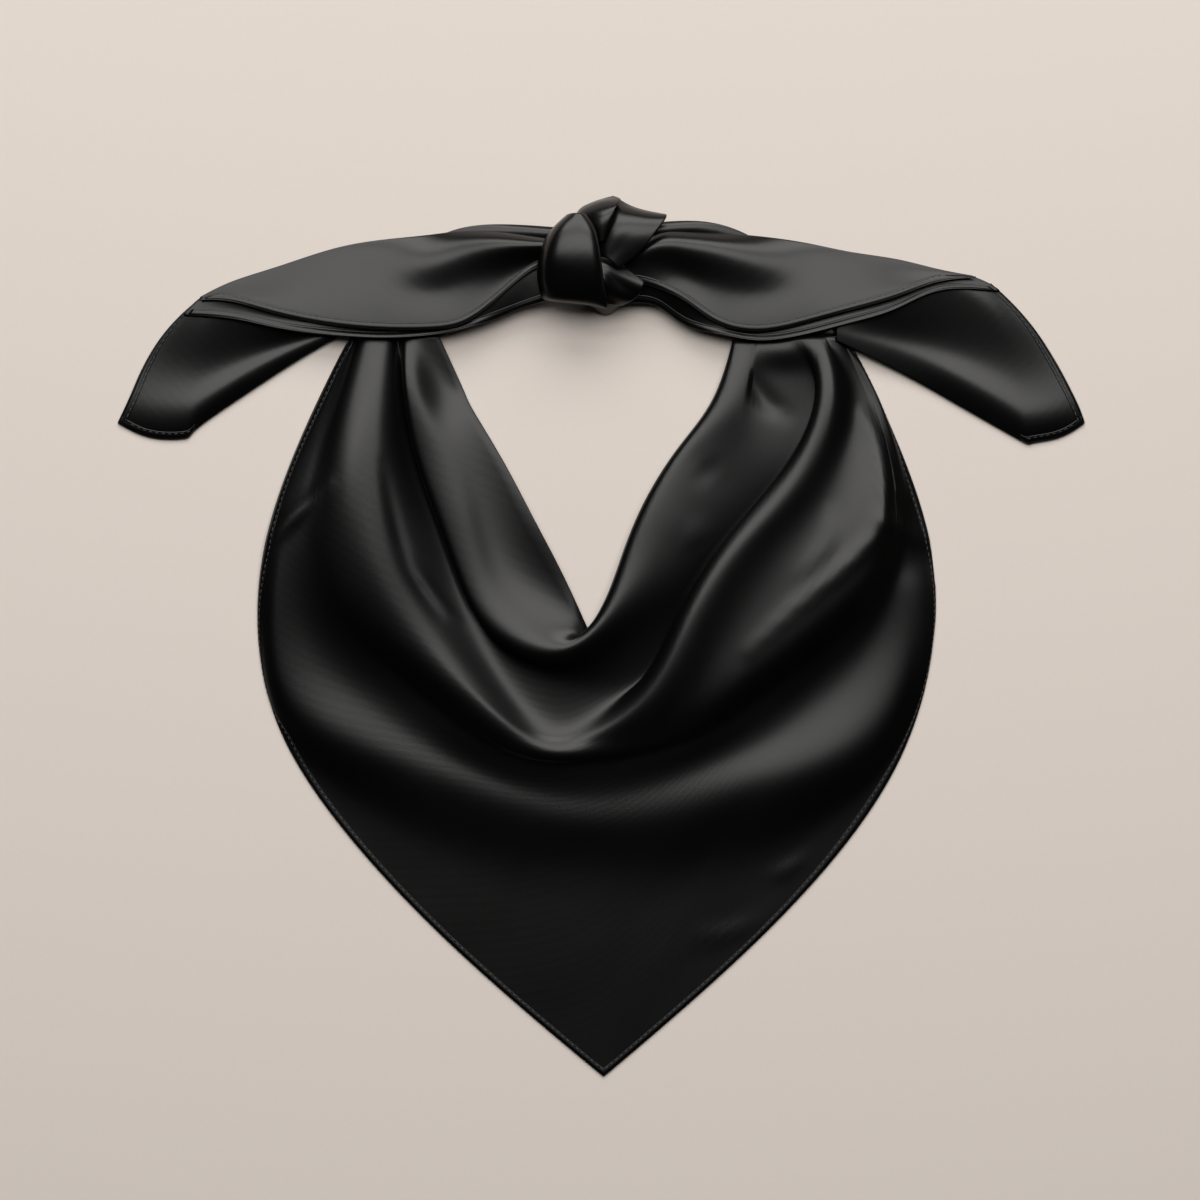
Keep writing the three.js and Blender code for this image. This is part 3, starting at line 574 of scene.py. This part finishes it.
def spline_values(values, places):
    """Values of a natural cubic spline through evenly spaced rows, at the places given."""
    values = np.asarray(values, float)
    count = len(values)
    matrix = np.eye(count)
    pull = np.zeros_like(values)
    for i in range(1, count - 1):
        matrix[i, i - 1:i + 2] = (1, 4, 1)
        pull[i] = 6 * (values[i - 1] - 2 * values[i] + values[i + 1])
    bend = np.linalg.solve(matrix, pull)
    i = np.clip(np.floor(places).astype(int), 0, count - 2)
    b = (places - i)[:, None]
    a = 1 - b
    return a * values[i] + b * values[i + 1] + ((a**3 - a) * bend[i] + (b**3 - b) * bend[i + 1]) / 6


def fold_line(fold, places):
    """One fold's line at the places along it, with a sharp middle column if the fold turns."""
    shares = np.column_stack([fold["across"], fold["up"], fold["lift"]]) / 1000
    points = shares * (OVERALL_WIDTH, OVERALL_HEIGHT, PILE_HEIGHT)
    if not fold.get("turns"):
        return spline_values(points, places)
    corner = len(points) // 2
    before = spline_values(points[:corner + 1], places[places <= corner])
    after = spline_values(points[corner:], places[places > corner] - corner)
    return np.vstack([before, after])


def row_weights(rows, places):
    """Weights of a clamped smooth curve over the rows, one line for each place."""
    degree = min(3, rows - 1)
    spans = rows - degree
    knots = np.clip(np.arange(rows + degree + 1) - degree, 0, spans) / spans
    weights = np.zeros((len(places), rows))
    for line, place in enumerate(np.minimum(places, LAST_PLACE)):
        span = degree + int(place * spans)
        part = [1.0]
        for d in range(1, degree + 1):
            new = [0.0] * (d + 1)
            for r in range(d):
                low, high = knots[span + 1 - d + r], knots[span + 1 + r]
                new[r] += (high - place) / (high - low) * part[r]
                new[r + 1] += (place - low) / (high - low) * part[r]
            part = new
        weights[line, span - degree:span + 1] = part
    return weights


def cloth_surface(folds, along, across):
    """Points of the cloth, one row for each place across and one column for each along."""
    places = along * (len(folds[0]["across"]) - 1)
    lines = np.array([fold_line(fold, places) for fold in folds])
    points = np.tensordot(row_weights(len(folds), across), lines, axes=(1, 0))
    points[..., 2] = np.maximum(points[..., 2], 0)
    return points


def add_crease(points, across, crease):
    """Raises or sinks the cloth along one crease, fading towards its two ends."""
    samples = np.linspace(0, 1, CREASE_SAMPLES)
    line = np.column_stack([crease["across"], crease["up"]]) / 1000 * (OVERALL_WIDTH, OVERALL_HEIGHT)
    path = spline_values(line, samples * (len(line) - 1))
    gaps = np.linalg.norm(points[:, :, None, :2] - path, axis=3)
    nearest = samples[gaps.argmin(axis=2)]
    fade = np.sin(math.pi * (CREASE_FADE + (1 - 2 * CREASE_FADE) * nearest))
    first, last = crease["rows"]
    layer = ((across >= first) & (across <= last))[:, None]
    bend = crease["rise"] * MM * np.exp(-(gaps.min(axis=2) / (crease["width"] * MM)) ** 2)
    points[..., 2] += bend * fade * layer


def cloth_normals(points):
    """Normals of the cloth, turned so that most of them face up."""
    normals = np.cross(np.gradient(points, axis=1), np.gradient(points, axis=0))
    normals /= np.linalg.norm(normals, axis=2, keepdims=True) + TINY
    return normals if normals[..., 2].sum() > 0 else -normals


def lengths_along(points, axis):
    """Distance walked over the cloth along one of its directions."""
    steps = np.linalg.norm(np.diff(points, axis=axis), axis=2)
    pad = [(0, 0), (0, 0)]
    pad[axis] = (1, 0)
    return np.cumsum(np.pad(steps, pad), axis=axis)


def distance_walked(line):
    """Distance walked along a line, at each of its points."""
    return np.concatenate([[0], np.cumsum(np.linalg.norm(np.diff(line, axis=0), axis=1))])


def point_at(place, walked, points):
    """The point, or the normal, at a distance walked along a line."""
    return np.array([np.interp(place, walked, points[:, axis]) for axis in range(3)])


def even_steps(count):
    """Shares from 0 to 1 in this many even steps."""
    return np.linspace(0, 1, count + 1)


# Making the pieces

# Middle and half of the thickness of a layer, and the angles of the points round its edge.
CLOTH_MIDDLE = (CLOTH_TOP + CLOTH_UNDERSIDE) / 2
CLOTH_HALF = (CLOTH_TOP - CLOTH_UNDERSIDE) / 2
EDGE_ANGLES = (45, 90, 135)


def new_piece(name, vertices, faces, material, uvs=None):
    """A mesh object in the scene that rides with the neckerchief."""
    mesh = bpy.data.meshes.new(name)
    mesh.from_pydata([tuple(v) for v in vertices], [], faces)
    mesh.validate()
    if uvs is not None:
        layer = mesh.uv_layers.new(name="cloth")
        corners = np.zeros(len(mesh.loops), dtype=np.int32)
        mesh.loops.foreach_get("vertex_index", corners)
        layer.data.foreach_set("uv", np.asarray(uvs, float)[corners].ravel())
    mesh.polygons.foreach_set("use_smooth", [True] * len(mesh.polygons))
    mesh.materials.append(material)
    piece = bpy.data.objects.new(name, mesh)
    bpy.context.collection.objects.link(piece)
    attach(piece, "root")
    return piece


def fix_normals(piece):
    """Turns every face outward."""
    shape = bmesh.new()
    shape.from_mesh(piece.data)
    bmesh.ops.recalc_face_normals(shape, faces=shape.faces)
    shape.to_mesh(piece.data)
    shape.free()


def weld(piece, distance):
    """Joins points that lie closer together than a distance."""
    shape = bmesh.new()
    shape.from_mesh(piece.data)
    bmesh.ops.remove_doubles(shape, verts=shape.verts, dist=distance)
    shape.to_mesh(piece.data)
    shape.free()


def tube_sides(base, rings, sides):
    """Faces between the rings of a tube whose points start at base."""
    faces = []
    for low in range(base, base + (rings - 1) * sides, sides):
        for k in range(sides):
            n = (k + 1) % sides
            faces.append([low + k, low + n, low + sides + n, low + sides + k])
    return faces


def sheet_faces(points, normals, at, ring):
    """Faces of a layer's top and underside, and of the round edge between them."""
    quads = np.stack([at[:-1, :-1], at[:-1, 1:], at[1:, 1:], at[1:, :-1]], axis=-1).reshape(-1, 4)
    corners = points[quads[0]]
    facing = np.cross(corners[1] - corners[0], corners[2] - corners[0])
    turned = np.dot(facing, normals[quads[0][0]]) < 0
    if turned:
        quads = quads[:, ::-1]
    count, around = len(points), len(ring)
    faces = quads.tolist() + (quads[:, ::-1] + count).tolist()
    edge_rings = [2 * count + k * around + np.arange(around) for k in range(len(EDGE_ANGLES))]
    rings = [ring, *edge_rings, ring + count]
    for upper, lower in zip(rings, rings[1:]):
        strip = np.stack([upper, np.roll(upper, -1), np.roll(lower, -1), lower], axis=-1)
        faces += (strip if turned else strip[:, [1, 0, 3, 2]]).tolist()
    return faces


class Cloth:
    """A layer of cloth: its surface, its flat size, and what is sewn on it."""

    def __init__(self, name, folds, along, across, creases=()):
        self.name = name
        self.points = cloth_surface(folds, along, across)
        for crease in creases:
            add_crease(self.points, across, crease)
        self.points[..., 2] = np.maximum(self.points[..., 2], 0)
        self.normals = cloth_normals(self.points)
        self.walked_along = lengths_along(self.points, 1)
        self.walked_across = lengths_along(self.points, 0)
        self.flat = (float(self.walked_along[:, -1].max()), float(self.walked_across[-1].max()))
        spans = np.linalg.norm(np.cross(self.points[1:, :-1] - self.points[:-1, :-1],
                                        self.points[:-1, 1:] - self.points[:-1, :-1]), axis=2)
        self.area = float(spans.sum())

    def outward_at(self, ring):
        """Directions out of the cloth, at the points round its edge."""
        edge = self.points.reshape(-1, 3)[ring]
        tangent = np.roll(edge, -1, axis=0) - np.roll(edge, 1, axis=0)
        outward = np.cross(tangent, self.normals.reshape(-1, 3)[ring])
        outward /= np.linalg.norm(outward, axis=1, keepdims=True) + TINY
        inner = self.points[1:-1, 1:-1].reshape(-1, 3).mean(axis=0)
        return -outward if ((edge - inner) * outward).sum() < 0 else outward

    def sheet(self, material):
        """The layer itself, with a round edge."""
        rows, columns = self.points.shape[:2]
        at = np.arange(rows * columns).reshape(rows, columns)
        ring = np.concatenate([at[0, :-1], at[:-1, -1], at[-1, :0:-1], at[:0:-1, 0]])
        points = self.points.reshape(-1, 3)
        normals = self.normals.reshape(-1, 3)
        outward = self.outward_at(ring)
        layers = [points + normals * CLOTH_TOP, points + normals * CLOTH_UNDERSIDE]
        for angle in EDGE_ANGLES:
            turn = math.radians(angle)
            lift = normals[ring] * (CLOTH_MIDDLE + CLOTH_HALF * math.cos(turn))
            layers.append(points[ring] + lift + outward * CLOTH_HALF * math.sin(turn))
        uv = np.column_stack([self.walked_along.reshape(-1), self.walked_across.reshape(-1)])
        uvs = np.vstack([uv, uv] + [uv[ring]] * len(EDGE_ANGLES))
        faces = sheet_faces(points, normals, at, ring)
        return new_piece(self.name, np.vstack(layers), faces, material, uvs)

    def inward_lines(self, side):
        """Lines that start on one edge and run into the cloth, with their normals."""
        turned = {
            "last row": lambda a: a[::-1].swapaxes(0, 1),
            "last column": lambda a: a[:, ::-1],
        }[side]
        return turned(self.points), turned(self.normals)


# Hems and stitches

# A whole edge, from its first point to its last. Hems and stitches cover shares of an edge.
WHOLE_EDGE = (0.0, 1.0)

# How many points in from an edge its hem and stitches are looked for.
EDGE_REACH = 40

# The hem's outline: distance in from the edge and height over the middle of the cloth, as
# shares of the hem's width and of the hem's half thickness.
HEM_OUTLINE = [
    (1.06, 0.62), (0.98, 0.98), (0.86, 1.0), (0.77, 0.86), (0.68, 1.0), (0.35, 1.0), (0.08, 0.85),
    (-0.05, 0.0), (0.08, -0.85), (0.35, -1.0), (0.8, -0.9), (1.0, -0.6),
]

# A stitch's outline: place along it as a share of its length, then the thread's size and its
# height there as shares of its radius. The ends dip into the cloth.
STITCH_OUTLINE = [
    (-0.5, 0.35, -0.9),
    (-0.38, 0.9, -0.2),
    (0, 1, 0.25),
    (0.38, 0.9, -0.2),
    (0.5, 0.35, -0.9),
]
THREAD_SIDES = 6
THREAD_SPREAD = 1.15
STITCH_AHEAD = 0.3 * MM
STITCH_SEAT = 0.75


def edge_track(lines, normals, inset, part):
    """Points at one distance in from the edge, over a part of the edge, with normals."""
    last = len(lines) - 1
    start, end = part
    track, lifts = [], []
    for k in range(int(round(start * last)), int(round(end * last)) + 1):
        line = lines[k][:EDGE_REACH]
        if inset < 0:
            outward = line[0] - line[1]
            track.append(line[0] - outward / (np.linalg.norm(outward) + TINY) * inset)
            lifts.append(normals[k][0])
            continue
        walked = distance_walked(line)
        track.append(point_at(inset, walked, line))
        lifts.append(point_at(inset, walked, normals[k][:EDGE_REACH]))
    lifts = np.array(lifts)
    return np.array(track), lifts / np.linalg.norm(lifts, axis=1, keepdims=True)


def hem(name, cloth, side, material, part=WHOLE_EDGE):
    """The folded and sewn strip along one edge of a layer."""
    lines, normals = cloth.inward_lines(side)
    loops = []
    for inset, height in HEM_OUTLINE:
        track, lifts = edge_track(lines, normals, inset * HEM_WIDTH, part)
        loops.append(track + lifts * (CLOTH_MIDDLE + height * (CLOTH_HALF + HEM_RISE)))
    loops = np.array(loops)
    around, length = loops.shape[:2]
    at = np.arange(around * length).reshape(around, length)
    after = np.roll(at, -1, axis=0)
    quads = np.stack([at[:, :-1], at[:, 1:], after[:, 1:], after[:, :-1]], axis=-1)
    faces = quads.reshape(-1, 4).tolist()
    faces += [at[:, 0].tolist(), at[::-1, -1].tolist()]
    run = distance_walked(loops[0])
    uvs = [(place, inset * HEM_WIDTH) for inset, _ in HEM_OUTLINE for place in run]
    piece = new_piece(name, loops.reshape(-1, 3), faces, material, uvs)
    fix_normals(piece)
    return piece


def stitch_points(middle, walked, track, lifts):
    """Points of one stitch, ring by ring, with its middle at a distance along the track."""
    points = []
    for share, size, sink in STITCH_OUTLINE:
        place = middle + share * STITCH_LENGTH
        centre = point_at(place, walked, track)
        up = point_at(place, walked, lifts)
        run = point_at(place + STITCH_AHEAD, walked, track) - centre
        run /= np.linalg.norm(run) + TINY
        cross = np.cross(run, up)
        cross /= np.linalg.norm(cross) + TINY
        for k in range(THREAD_SIDES):
            turn = math.radians(360 / THREAD_SIDES * k)
            rise = up * (math.sin(turn) * size + sink)
            spread = cross * math.cos(turn) * size * THREAD_SPREAD
            points.append(centre + (rise + spread) * THREAD_RADIUS)
    return points


def sewing(name, cloth, side, material, part=WHOLE_EDGE):
    """A row of stitches that lie on a hem."""
    lines, normals = cloth.inward_lines(side)
    track, lifts = edge_track(lines, normals, SEWING_INSET, part)
    track = track + lifts * (CLOTH_TOP + HEM_RISE * STITCH_SEAT)
    walked = distance_walked(track)
    rings = len(STITCH_OUTLINE)
    vertices, faces = [], []
    middle = STITCH_PITCH
    while middle < walked[-1] - STITCH_PITCH:
        base = len(vertices)
        vertices.extend(stitch_points(middle, walked, track, lifts))
        faces.extend(tube_sides(base, rings, THREAD_SIDES))
        faces.append(list(range(base + THREAD_SIDES - 1, base - 1, -1)))
        faces.append(list(range(base + (rings - 1) * THREAD_SIDES, base + rings * THREAD_SIDES)))
        middle += STITCH_PITCH
    piece = new_piece(name, vertices, faces, material)
    fix_normals(piece)
    return piece


# Materials

# Ribs and grain of the satin, and how far its dye and gloss drift, in real lengths. The threads
# of the real cloth lie 0.1 mm apart and are too fine to show, so faint diagonal ribs stand in for
# them. The wave node repeats every 2 pi / 10 of RIB_LENGTH along the sum of both directions,
# which is 4.9 mm from one rib to the next.
RIB_LENGTH = 11 * MM
GRAIN_SIZE = 1.1 * MM
SLUB_SIZE = 38 * MM
RIB_DEPTH = 0.05 * MM
GRAIN_DEPTH = 0.06 * MM
TWIST_SIZE = 0.4 * MM
PULP_SIZE = 2.5 * MM


def linear(hex_colour):
    """Turns an sRGB hex colour into the linear colour that a shader takes."""
    channels = [int(hex_colour[i:i + 2], 16) / 255 for i in (1, 3, 5)]
    return [c / 12.92 if c <= 0.04045 else ((c + 0.055) / 1.055) ** 2.4 for c in channels] + [1]


def add_node(tree, kind, settings=None, links=None):
    """Adds a node, sets its fields and sockets, and links its sockets from others."""
    node = tree.nodes.new(kind)
    for name, value in (settings or {}).items():
        if isinstance(name, str) and hasattr(node, name):
            setattr(node, name, value)
        else:
            node.inputs[name].default_value = value
    for name, source in (links or {}).items():
        tree.links.new(source, node.inputs[name])
    return node


def empty_material(name):
    """A material without nodes, and its node tree."""
    material = bpy.data.materials.new(name)
    material.use_nodes = True
    material.node_tree.nodes.clear()
    return material, material.node_tree


def polyester_satin():
    """Woven polyester satin: a near-black cloth whose long smooth floats give broad soft
    highlights on each rounded fold and next to nothing in the valleys."""
    material, tree = empty_material("black_polyester_satin")
    cloth = add_node(tree, "ShaderNodeUVMap", {"uv_map": "cloth"})
    ribs = add_node(tree, "ShaderNodeTexWave", {
        "wave_type": "BANDS", "bands_direction": "DIAGONAL", "Scale": 1 / RIB_LENGTH,
        "Distortion": 1.2, "Detail": 2.0, "Detail Scale": 2.0,
    }, {"Vector": cloth.outputs["UV"]})
    grain = add_node(tree, "ShaderNodeTexNoise", {
        "Scale": 1 / GRAIN_SIZE, "Detail": 3.0, "Roughness": 0.6,
    }, {"Vector": cloth.outputs["UV"]})
    slubs = add_node(tree, "ShaderNodeTexNoise", {
        "Scale": 1 / SLUB_SIZE, "Detail": 2.0, "Roughness": 0.5,
    }, {"Vector": cloth.outputs["UV"]})
    dye = add_node(tree, "ShaderNodeMix", {
        "data_type": "RGBA", 6: linear("#020202"), 7: linear("#050505"),
    }, {0: slubs.outputs["Fac"]})
    fibre = add_node(tree, "ShaderNodeBump", {
        "Strength": 0.10, "Distance": RIB_DEPTH,
    }, {"Height": ribs.outputs["Fac"]})
    relief = add_node(tree, "ShaderNodeBump", {
        "Strength": 0.22, "Distance": GRAIN_DEPTH,
    }, {"Height": grain.outputs["Fac"], "Normal": fibre.outputs["Normal"]})
    gloss = add_node(tree, "ShaderNodeMapRange", {
        "To Min": 0.27, "To Max": 0.32,
    }, {"Value": slubs.outputs["Fac"]})
    satin = add_node(tree, "ShaderNodeBsdfPrincipled", {
        "IOR": 1.5, "Specular IOR Level": 0.36,
    }, {
        "Base Color": dye.outputs[2],
        "Normal": relief.outputs["Normal"],
        "Roughness": gloss.outputs["Result"],
    })
    add_node(tree, "ShaderNodeOutputMaterial", {}, {"Surface": satin.outputs["BSDF"]})
    return material


def sewing_thread():
    """Spun polyester thread, black and a little fuzzy, so it looks greyer than the satin."""
    material, tree = empty_material("black_sewing_thread")
    place = add_node(tree, "ShaderNodeTexCoord")
    twist = add_node(tree, "ShaderNodeTexNoise", {
        "Scale": 1 / TWIST_SIZE, "Detail": 2.0,
    }, {"Vector": place.outputs["Object"]})
    dye = add_node(tree, "ShaderNodeMix", {
        "data_type": "RGBA", 6: linear("#262627"), 7: linear("#39393a"),
    }, {0: twist.outputs["Fac"]})
    thread = add_node(tree, "ShaderNodeBsdfPrincipled", {
        "Roughness": 0.6, "IOR": 1.5, "Sheen Weight": 0.3, "Sheen Roughness": 0.5,
    }, {"Base Color": dye.outputs[2]})
    add_node(tree, "ShaderNodeOutputMaterial", {}, {"Surface": thread.outputs["BSDF"]})
    return material


def matt_paper():
    """Matt warm paper under the neckerchief, a little cloudy where its pulp lies denser."""
    material, tree = empty_material("matt_warm_paper")
    place = add_node(tree, "ShaderNodeTexCoord")
    pulp = add_node(tree, "ShaderNodeTexNoise", {
        "Scale": 1 / PULP_SIZE, "Detail": 3.0,
    }, {"Vector": place.outputs["Object"]})
    tint = add_node(tree, "ShaderNodeMix", {
        "data_type": "RGBA", 6: linear("#dbd2ca"), 7: linear("#ded5cd"),
    }, {0: pulp.outputs["Fac"]})
    paper = add_node(tree, "ShaderNodeBsdfPrincipled", {
        "Roughness": 0.9, "IOR": 1.45, "Specular IOR Level": 0.2,
    }, {"Base Color": tint.outputs[2]})
    add_node(tree, "ShaderNodeOutputMaterial", {}, {"Surface": paper.outputs["BSDF"]})
    return material


SATIN = polyester_satin()
THREAD = sewing_thread()


# The pieces of the neckerchief

# Parts of an edge that a hem or a row of stitches covers, as shares of the edge. The rest of it
# lies under another layer.
TOP_HEM = (0.0, 0.985)
TOP_STITCHES = (0.12, 0.97)
LOWER_HEM = (0.0, 0.995)
BOTTOM_HEM = (0.52, 1.0)
BOTTOM_STITCHES = (0.54, 0.99)

# The cloth packed in the knot: its pleats and their depth as a share of its reach, its mesh, and its
# middle and half height as shares of its height.
CORE_PLEATS = 9
CORE_PLEAT_DEPTH = 0.05
CORE_RINGS = 24
CORE_SIDES = 108
CORE_MIDDLE = 0.5
CORE_HALF = 0.48
WELD_DISTANCE = 0.01 * MM


def finish_layer(piece, nodes):
    """Hides the solids that a layer stands for."""
    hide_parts(*nodes)


def draped_front():
    """The cowl of the drape with its hemmed outer edge."""
    even_places = np.linspace(0, DRAPE_EVEN_SHARE, DRAPE_EVEN_PLACES)
    across = np.concatenate([even_places, DRAPE_HEM_PLACES])
    cloth = Cloth("draped_front", DRAPE_FOLDS, even_steps(DRAPE_STEPS), across, DRAPE_CREASES)
    piece = cloth.sheet(SATIN)
    edge = hem("drape_hem", cloth, "last row", SATIN)
    stitches = sewing("drape_stitches", cloth, "last row", THREAD)
    finish_layer(piece, ["front_drape"])


def even_layer(name, folds, steps):
    """A layer whose mesh has even steps along its folds and across them."""
    along, across = steps
    return Cloth(name, folds, even_steps(along), even_steps(across))


def neck_band(side, folds):
    """Gathered cloth between a shoulder and the knot."""
    cloth = even_layer(f"gathered_band_{side}", folds, BAND_STEPS)
    finish_layer(cloth.sheet(SATIN), [f"neck_band_{side}"])


def tail_top(side, folds):
    """The upper layer of a tail, hemmed and sewn along its lower edge."""
    cloth = even_layer(f"tail_top_{side}", folds, TAIL_STEPS)
    piece = cloth.sheet(SATIN)
    edge = hem(f"tail_top_hem_{side}", cloth, "last row", SATIN, TOP_HEM)
    stitches = sewing(f"tail_top_stitches_{side}", cloth, "last row", THREAD, TOP_STITCHES)
    finish_layer(piece, [f"tail_{side}"])


def tail_lower_layer(side, folds):
    """The layer of a tail that shows as a strip below its first hem."""
    cloth = even_layer(f"tail_lower_layer_{side}", folds, UNDER_STEPS)
    piece = cloth.sheet(SATIN)
    edge = hem(f"tail_lower_hem_{side}", cloth, "last row", SATIN, LOWER_HEM)
    finish_layer(piece, [f"tail_{side}_under"])


def tail_end(side, folds):
    """The hanging end of a tail, hemmed and sewn on its outer edge and along its bottom."""
    cloth = even_layer(f"tail_end_{side}_cloth", folds, END_STEPS)
    piece = cloth.sheet(SATIN)
    curve = hem(f"tail_end_hem_{side}", cloth, "last column", SATIN)
    bottom = hem(f"tail_bottom_hem_{side}", cloth, "last row", SATIN, BOTTOM_HEM)
    sewn = sewing(f"tail_end_stitches_{side}", cloth, "last column", THREAD)
    sewn_bottom = sewing(f"tail_bottom_stitches_{side}", cloth, "last row", THREAD, BOTTOM_STITCHES)
    finish_layer(piece, [f"tail_{side}_end"])


def tail(side, upper_folds, under_folds, end_folds):
    """One tail: its upper layer, the layer under it and its hanging end."""
    tail_top(side, upper_folds)
    tail_lower_layer(side, under_folds)
    tail_end(side, end_folds)


def knot():
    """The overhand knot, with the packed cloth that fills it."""
    for name, folds, node in (
        ("knot_front_wrap", WRAP_FOLDS, "knot_wrap"),
        ("knot_top_loop", LOOP_FOLDS, "knot_loop"),
        ("knot_right_flap", FLAP_FOLDS, "knot_flap"),
        ("knot_crossing_folds", CROSS_FOLDS, "knot_folds"),
        ("knot_turned_end", NUB_FOLDS, "knot_nub"),
    ):
        cloth = even_layer(name, folds, KNOT_STEPS)
        finish_layer(cloth.sheet(SATIN), [node])
    packed_core()


def packed_core():
    """The cloth packed inside the knot, drawn up in small pleats from its foot to its crown."""
    vertices, uvs = [], []
    for turn in np.linspace(-math.pi / 2, math.pi / 2, CORE_RINGS):
        for angle in np.linspace(0, 2 * math.pi, CORE_SIDES, endpoint=False):
            swell = 1 - CORE_PLEAT_DEPTH * (1 + math.cos(CORE_PLEATS * angle + 2 * turn)) / 2
            reach = math.cos(turn) * swell
            vertices.append((
                (CORE_PLACE[0] + CORE_REACH[0] * reach * math.cos(angle)) * OVERALL_WIDTH,
                (CORE_PLACE[1] + CORE_REACH[1] * reach * math.sin(angle)) * OVERALL_HEIGHT,
                CORE_HEIGHT * (CORE_MIDDLE + CORE_HALF * math.sin(turn)),
            ))
            uvs.append((angle * CORE_REACH[0] * OVERALL_WIDTH, turn * CORE_HEIGHT / 2))
    faces = tube_sides(0, CORE_RINGS, CORE_SIDES)
    piece = new_piece("knot_packed_cloth", vertices, faces, SATIN, uvs)
    weld(piece, WELD_DISTANCE)
    fix_normals(piece)
    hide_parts("knot_core")


# Floor, light and camera

# Half the side of the square of floor, in metres.
FLOOR_REACH = 2.2

# Two softboxes stand beyond the knot and light the folds at a slant, so that slopes that face
# them are bright and slopes that face the low point are dark. Metres and watts.
LIT_POINT = (0, 0.02, 0)
SOFTBOX_SIZE = (2.8, 1.3)
SOFTBOX_COLOUR = "#fffdfb"
SOFTBOX_HIGH = {"place": (0.0, 1.06, 2.35), "power": 50}
SOFTBOX_LOW = {"place": (0.0, 2.30, 1.50), "power": 58}
ROOM_COLOUR = "#f5efe8"
ROOM_GLOW = 0.008

# The picture's frame is this wide on the floor, and its middle lies this far from the origin.
PICTURE_WIDTH = 509.3 * MM
PICTURE_MIDDLE = (-0.7 * MM, 15.0 * MM)

# Metres above the floor, and the camera's sensor in the millimetres that lenses are given in.
CAMERA_HEIGHT = 2.5
SENSOR_WIDTH = 36.0


def paper_floor():
    """The paper that the neckerchief lies on."""
    corners = [
        (-FLOOR_REACH, -FLOOR_REACH, 0),
        (FLOOR_REACH, -FLOOR_REACH, 0),
        (FLOOR_REACH, FLOOR_REACH, 0),
        (-FLOOR_REACH, FLOOR_REACH, 0),
    ]
    mesh = bpy.data.meshes.new("paper_floor")
    mesh.from_pydata(corners, [], [(0, 1, 2, 3)])
    mesh.materials.append(matt_paper())
    floor = bpy.data.objects.new("paper_floor", mesh)
    bpy.context.collection.objects.link(floor)


def soft_light(name, place, power):
    """A softbox that faces the neckerchief."""
    lamp = bpy.data.lights.new(name, "AREA")
    lamp.shape = "RECTANGLE"
    lamp.size, lamp.size_y = SOFTBOX_SIZE
    lamp.energy = power
    lamp.color = linear(SOFTBOX_COLOUR)[:3]
    light = bpy.data.objects.new(name, lamp)
    bpy.context.collection.objects.link(light)
    light.location = place
    light.rotation_euler = (Vector(LIT_POINT) - Vector(place)).to_track_quat("-Z", "Y").to_euler()


def studio_light():
    """The two softboxes and the faint glow of the room."""
    soft_light("softbox_high", **SOFTBOX_HIGH)
    soft_light("softbox_low", **SOFTBOX_LOW)
    world = bpy.data.worlds.new("room")
    bpy.context.scene.world = world
    world.use_nodes = True
    background = world.node_tree.nodes["Background"]
    background.inputs["Color"].default_value = linear(ROOM_COLOUR)
    background.inputs["Strength"].default_value = ROOM_GLOW


def camera_above():
    """The camera, straight above the middle of the picture."""
    lens = bpy.data.cameras.new("camera_above")
    lens.sensor_width = SENSOR_WIDTH
    lens.lens = SENSOR_WIDTH * CAMERA_HEIGHT / PICTURE_WIDTH
    camera = bpy.data.objects.new("camera_above", lens)
    camera.location = (*PICTURE_MIDDLE, CAMERA_HEIGHT)
    bpy.context.collection.objects.link(camera)
    bpy.context.scene.camera = camera


bpy.context.scene.view_settings.view_transform = "Standard"
camera_above()
studio_light()
paper_floor()
draped_front()
neck_band("left", LEFT_BAND_FOLDS)
neck_band("right", RIGHT_BAND_FOLDS)
tail("left", LEFT_TAIL_FOLDS, LEFT_UNDER_FOLDS, LEFT_END_FOLDS)
tail("right", RIGHT_TAIL_FOLDS, RIGHT_UNDER_FOLDS, RIGHT_END_FOLDS)
knot()
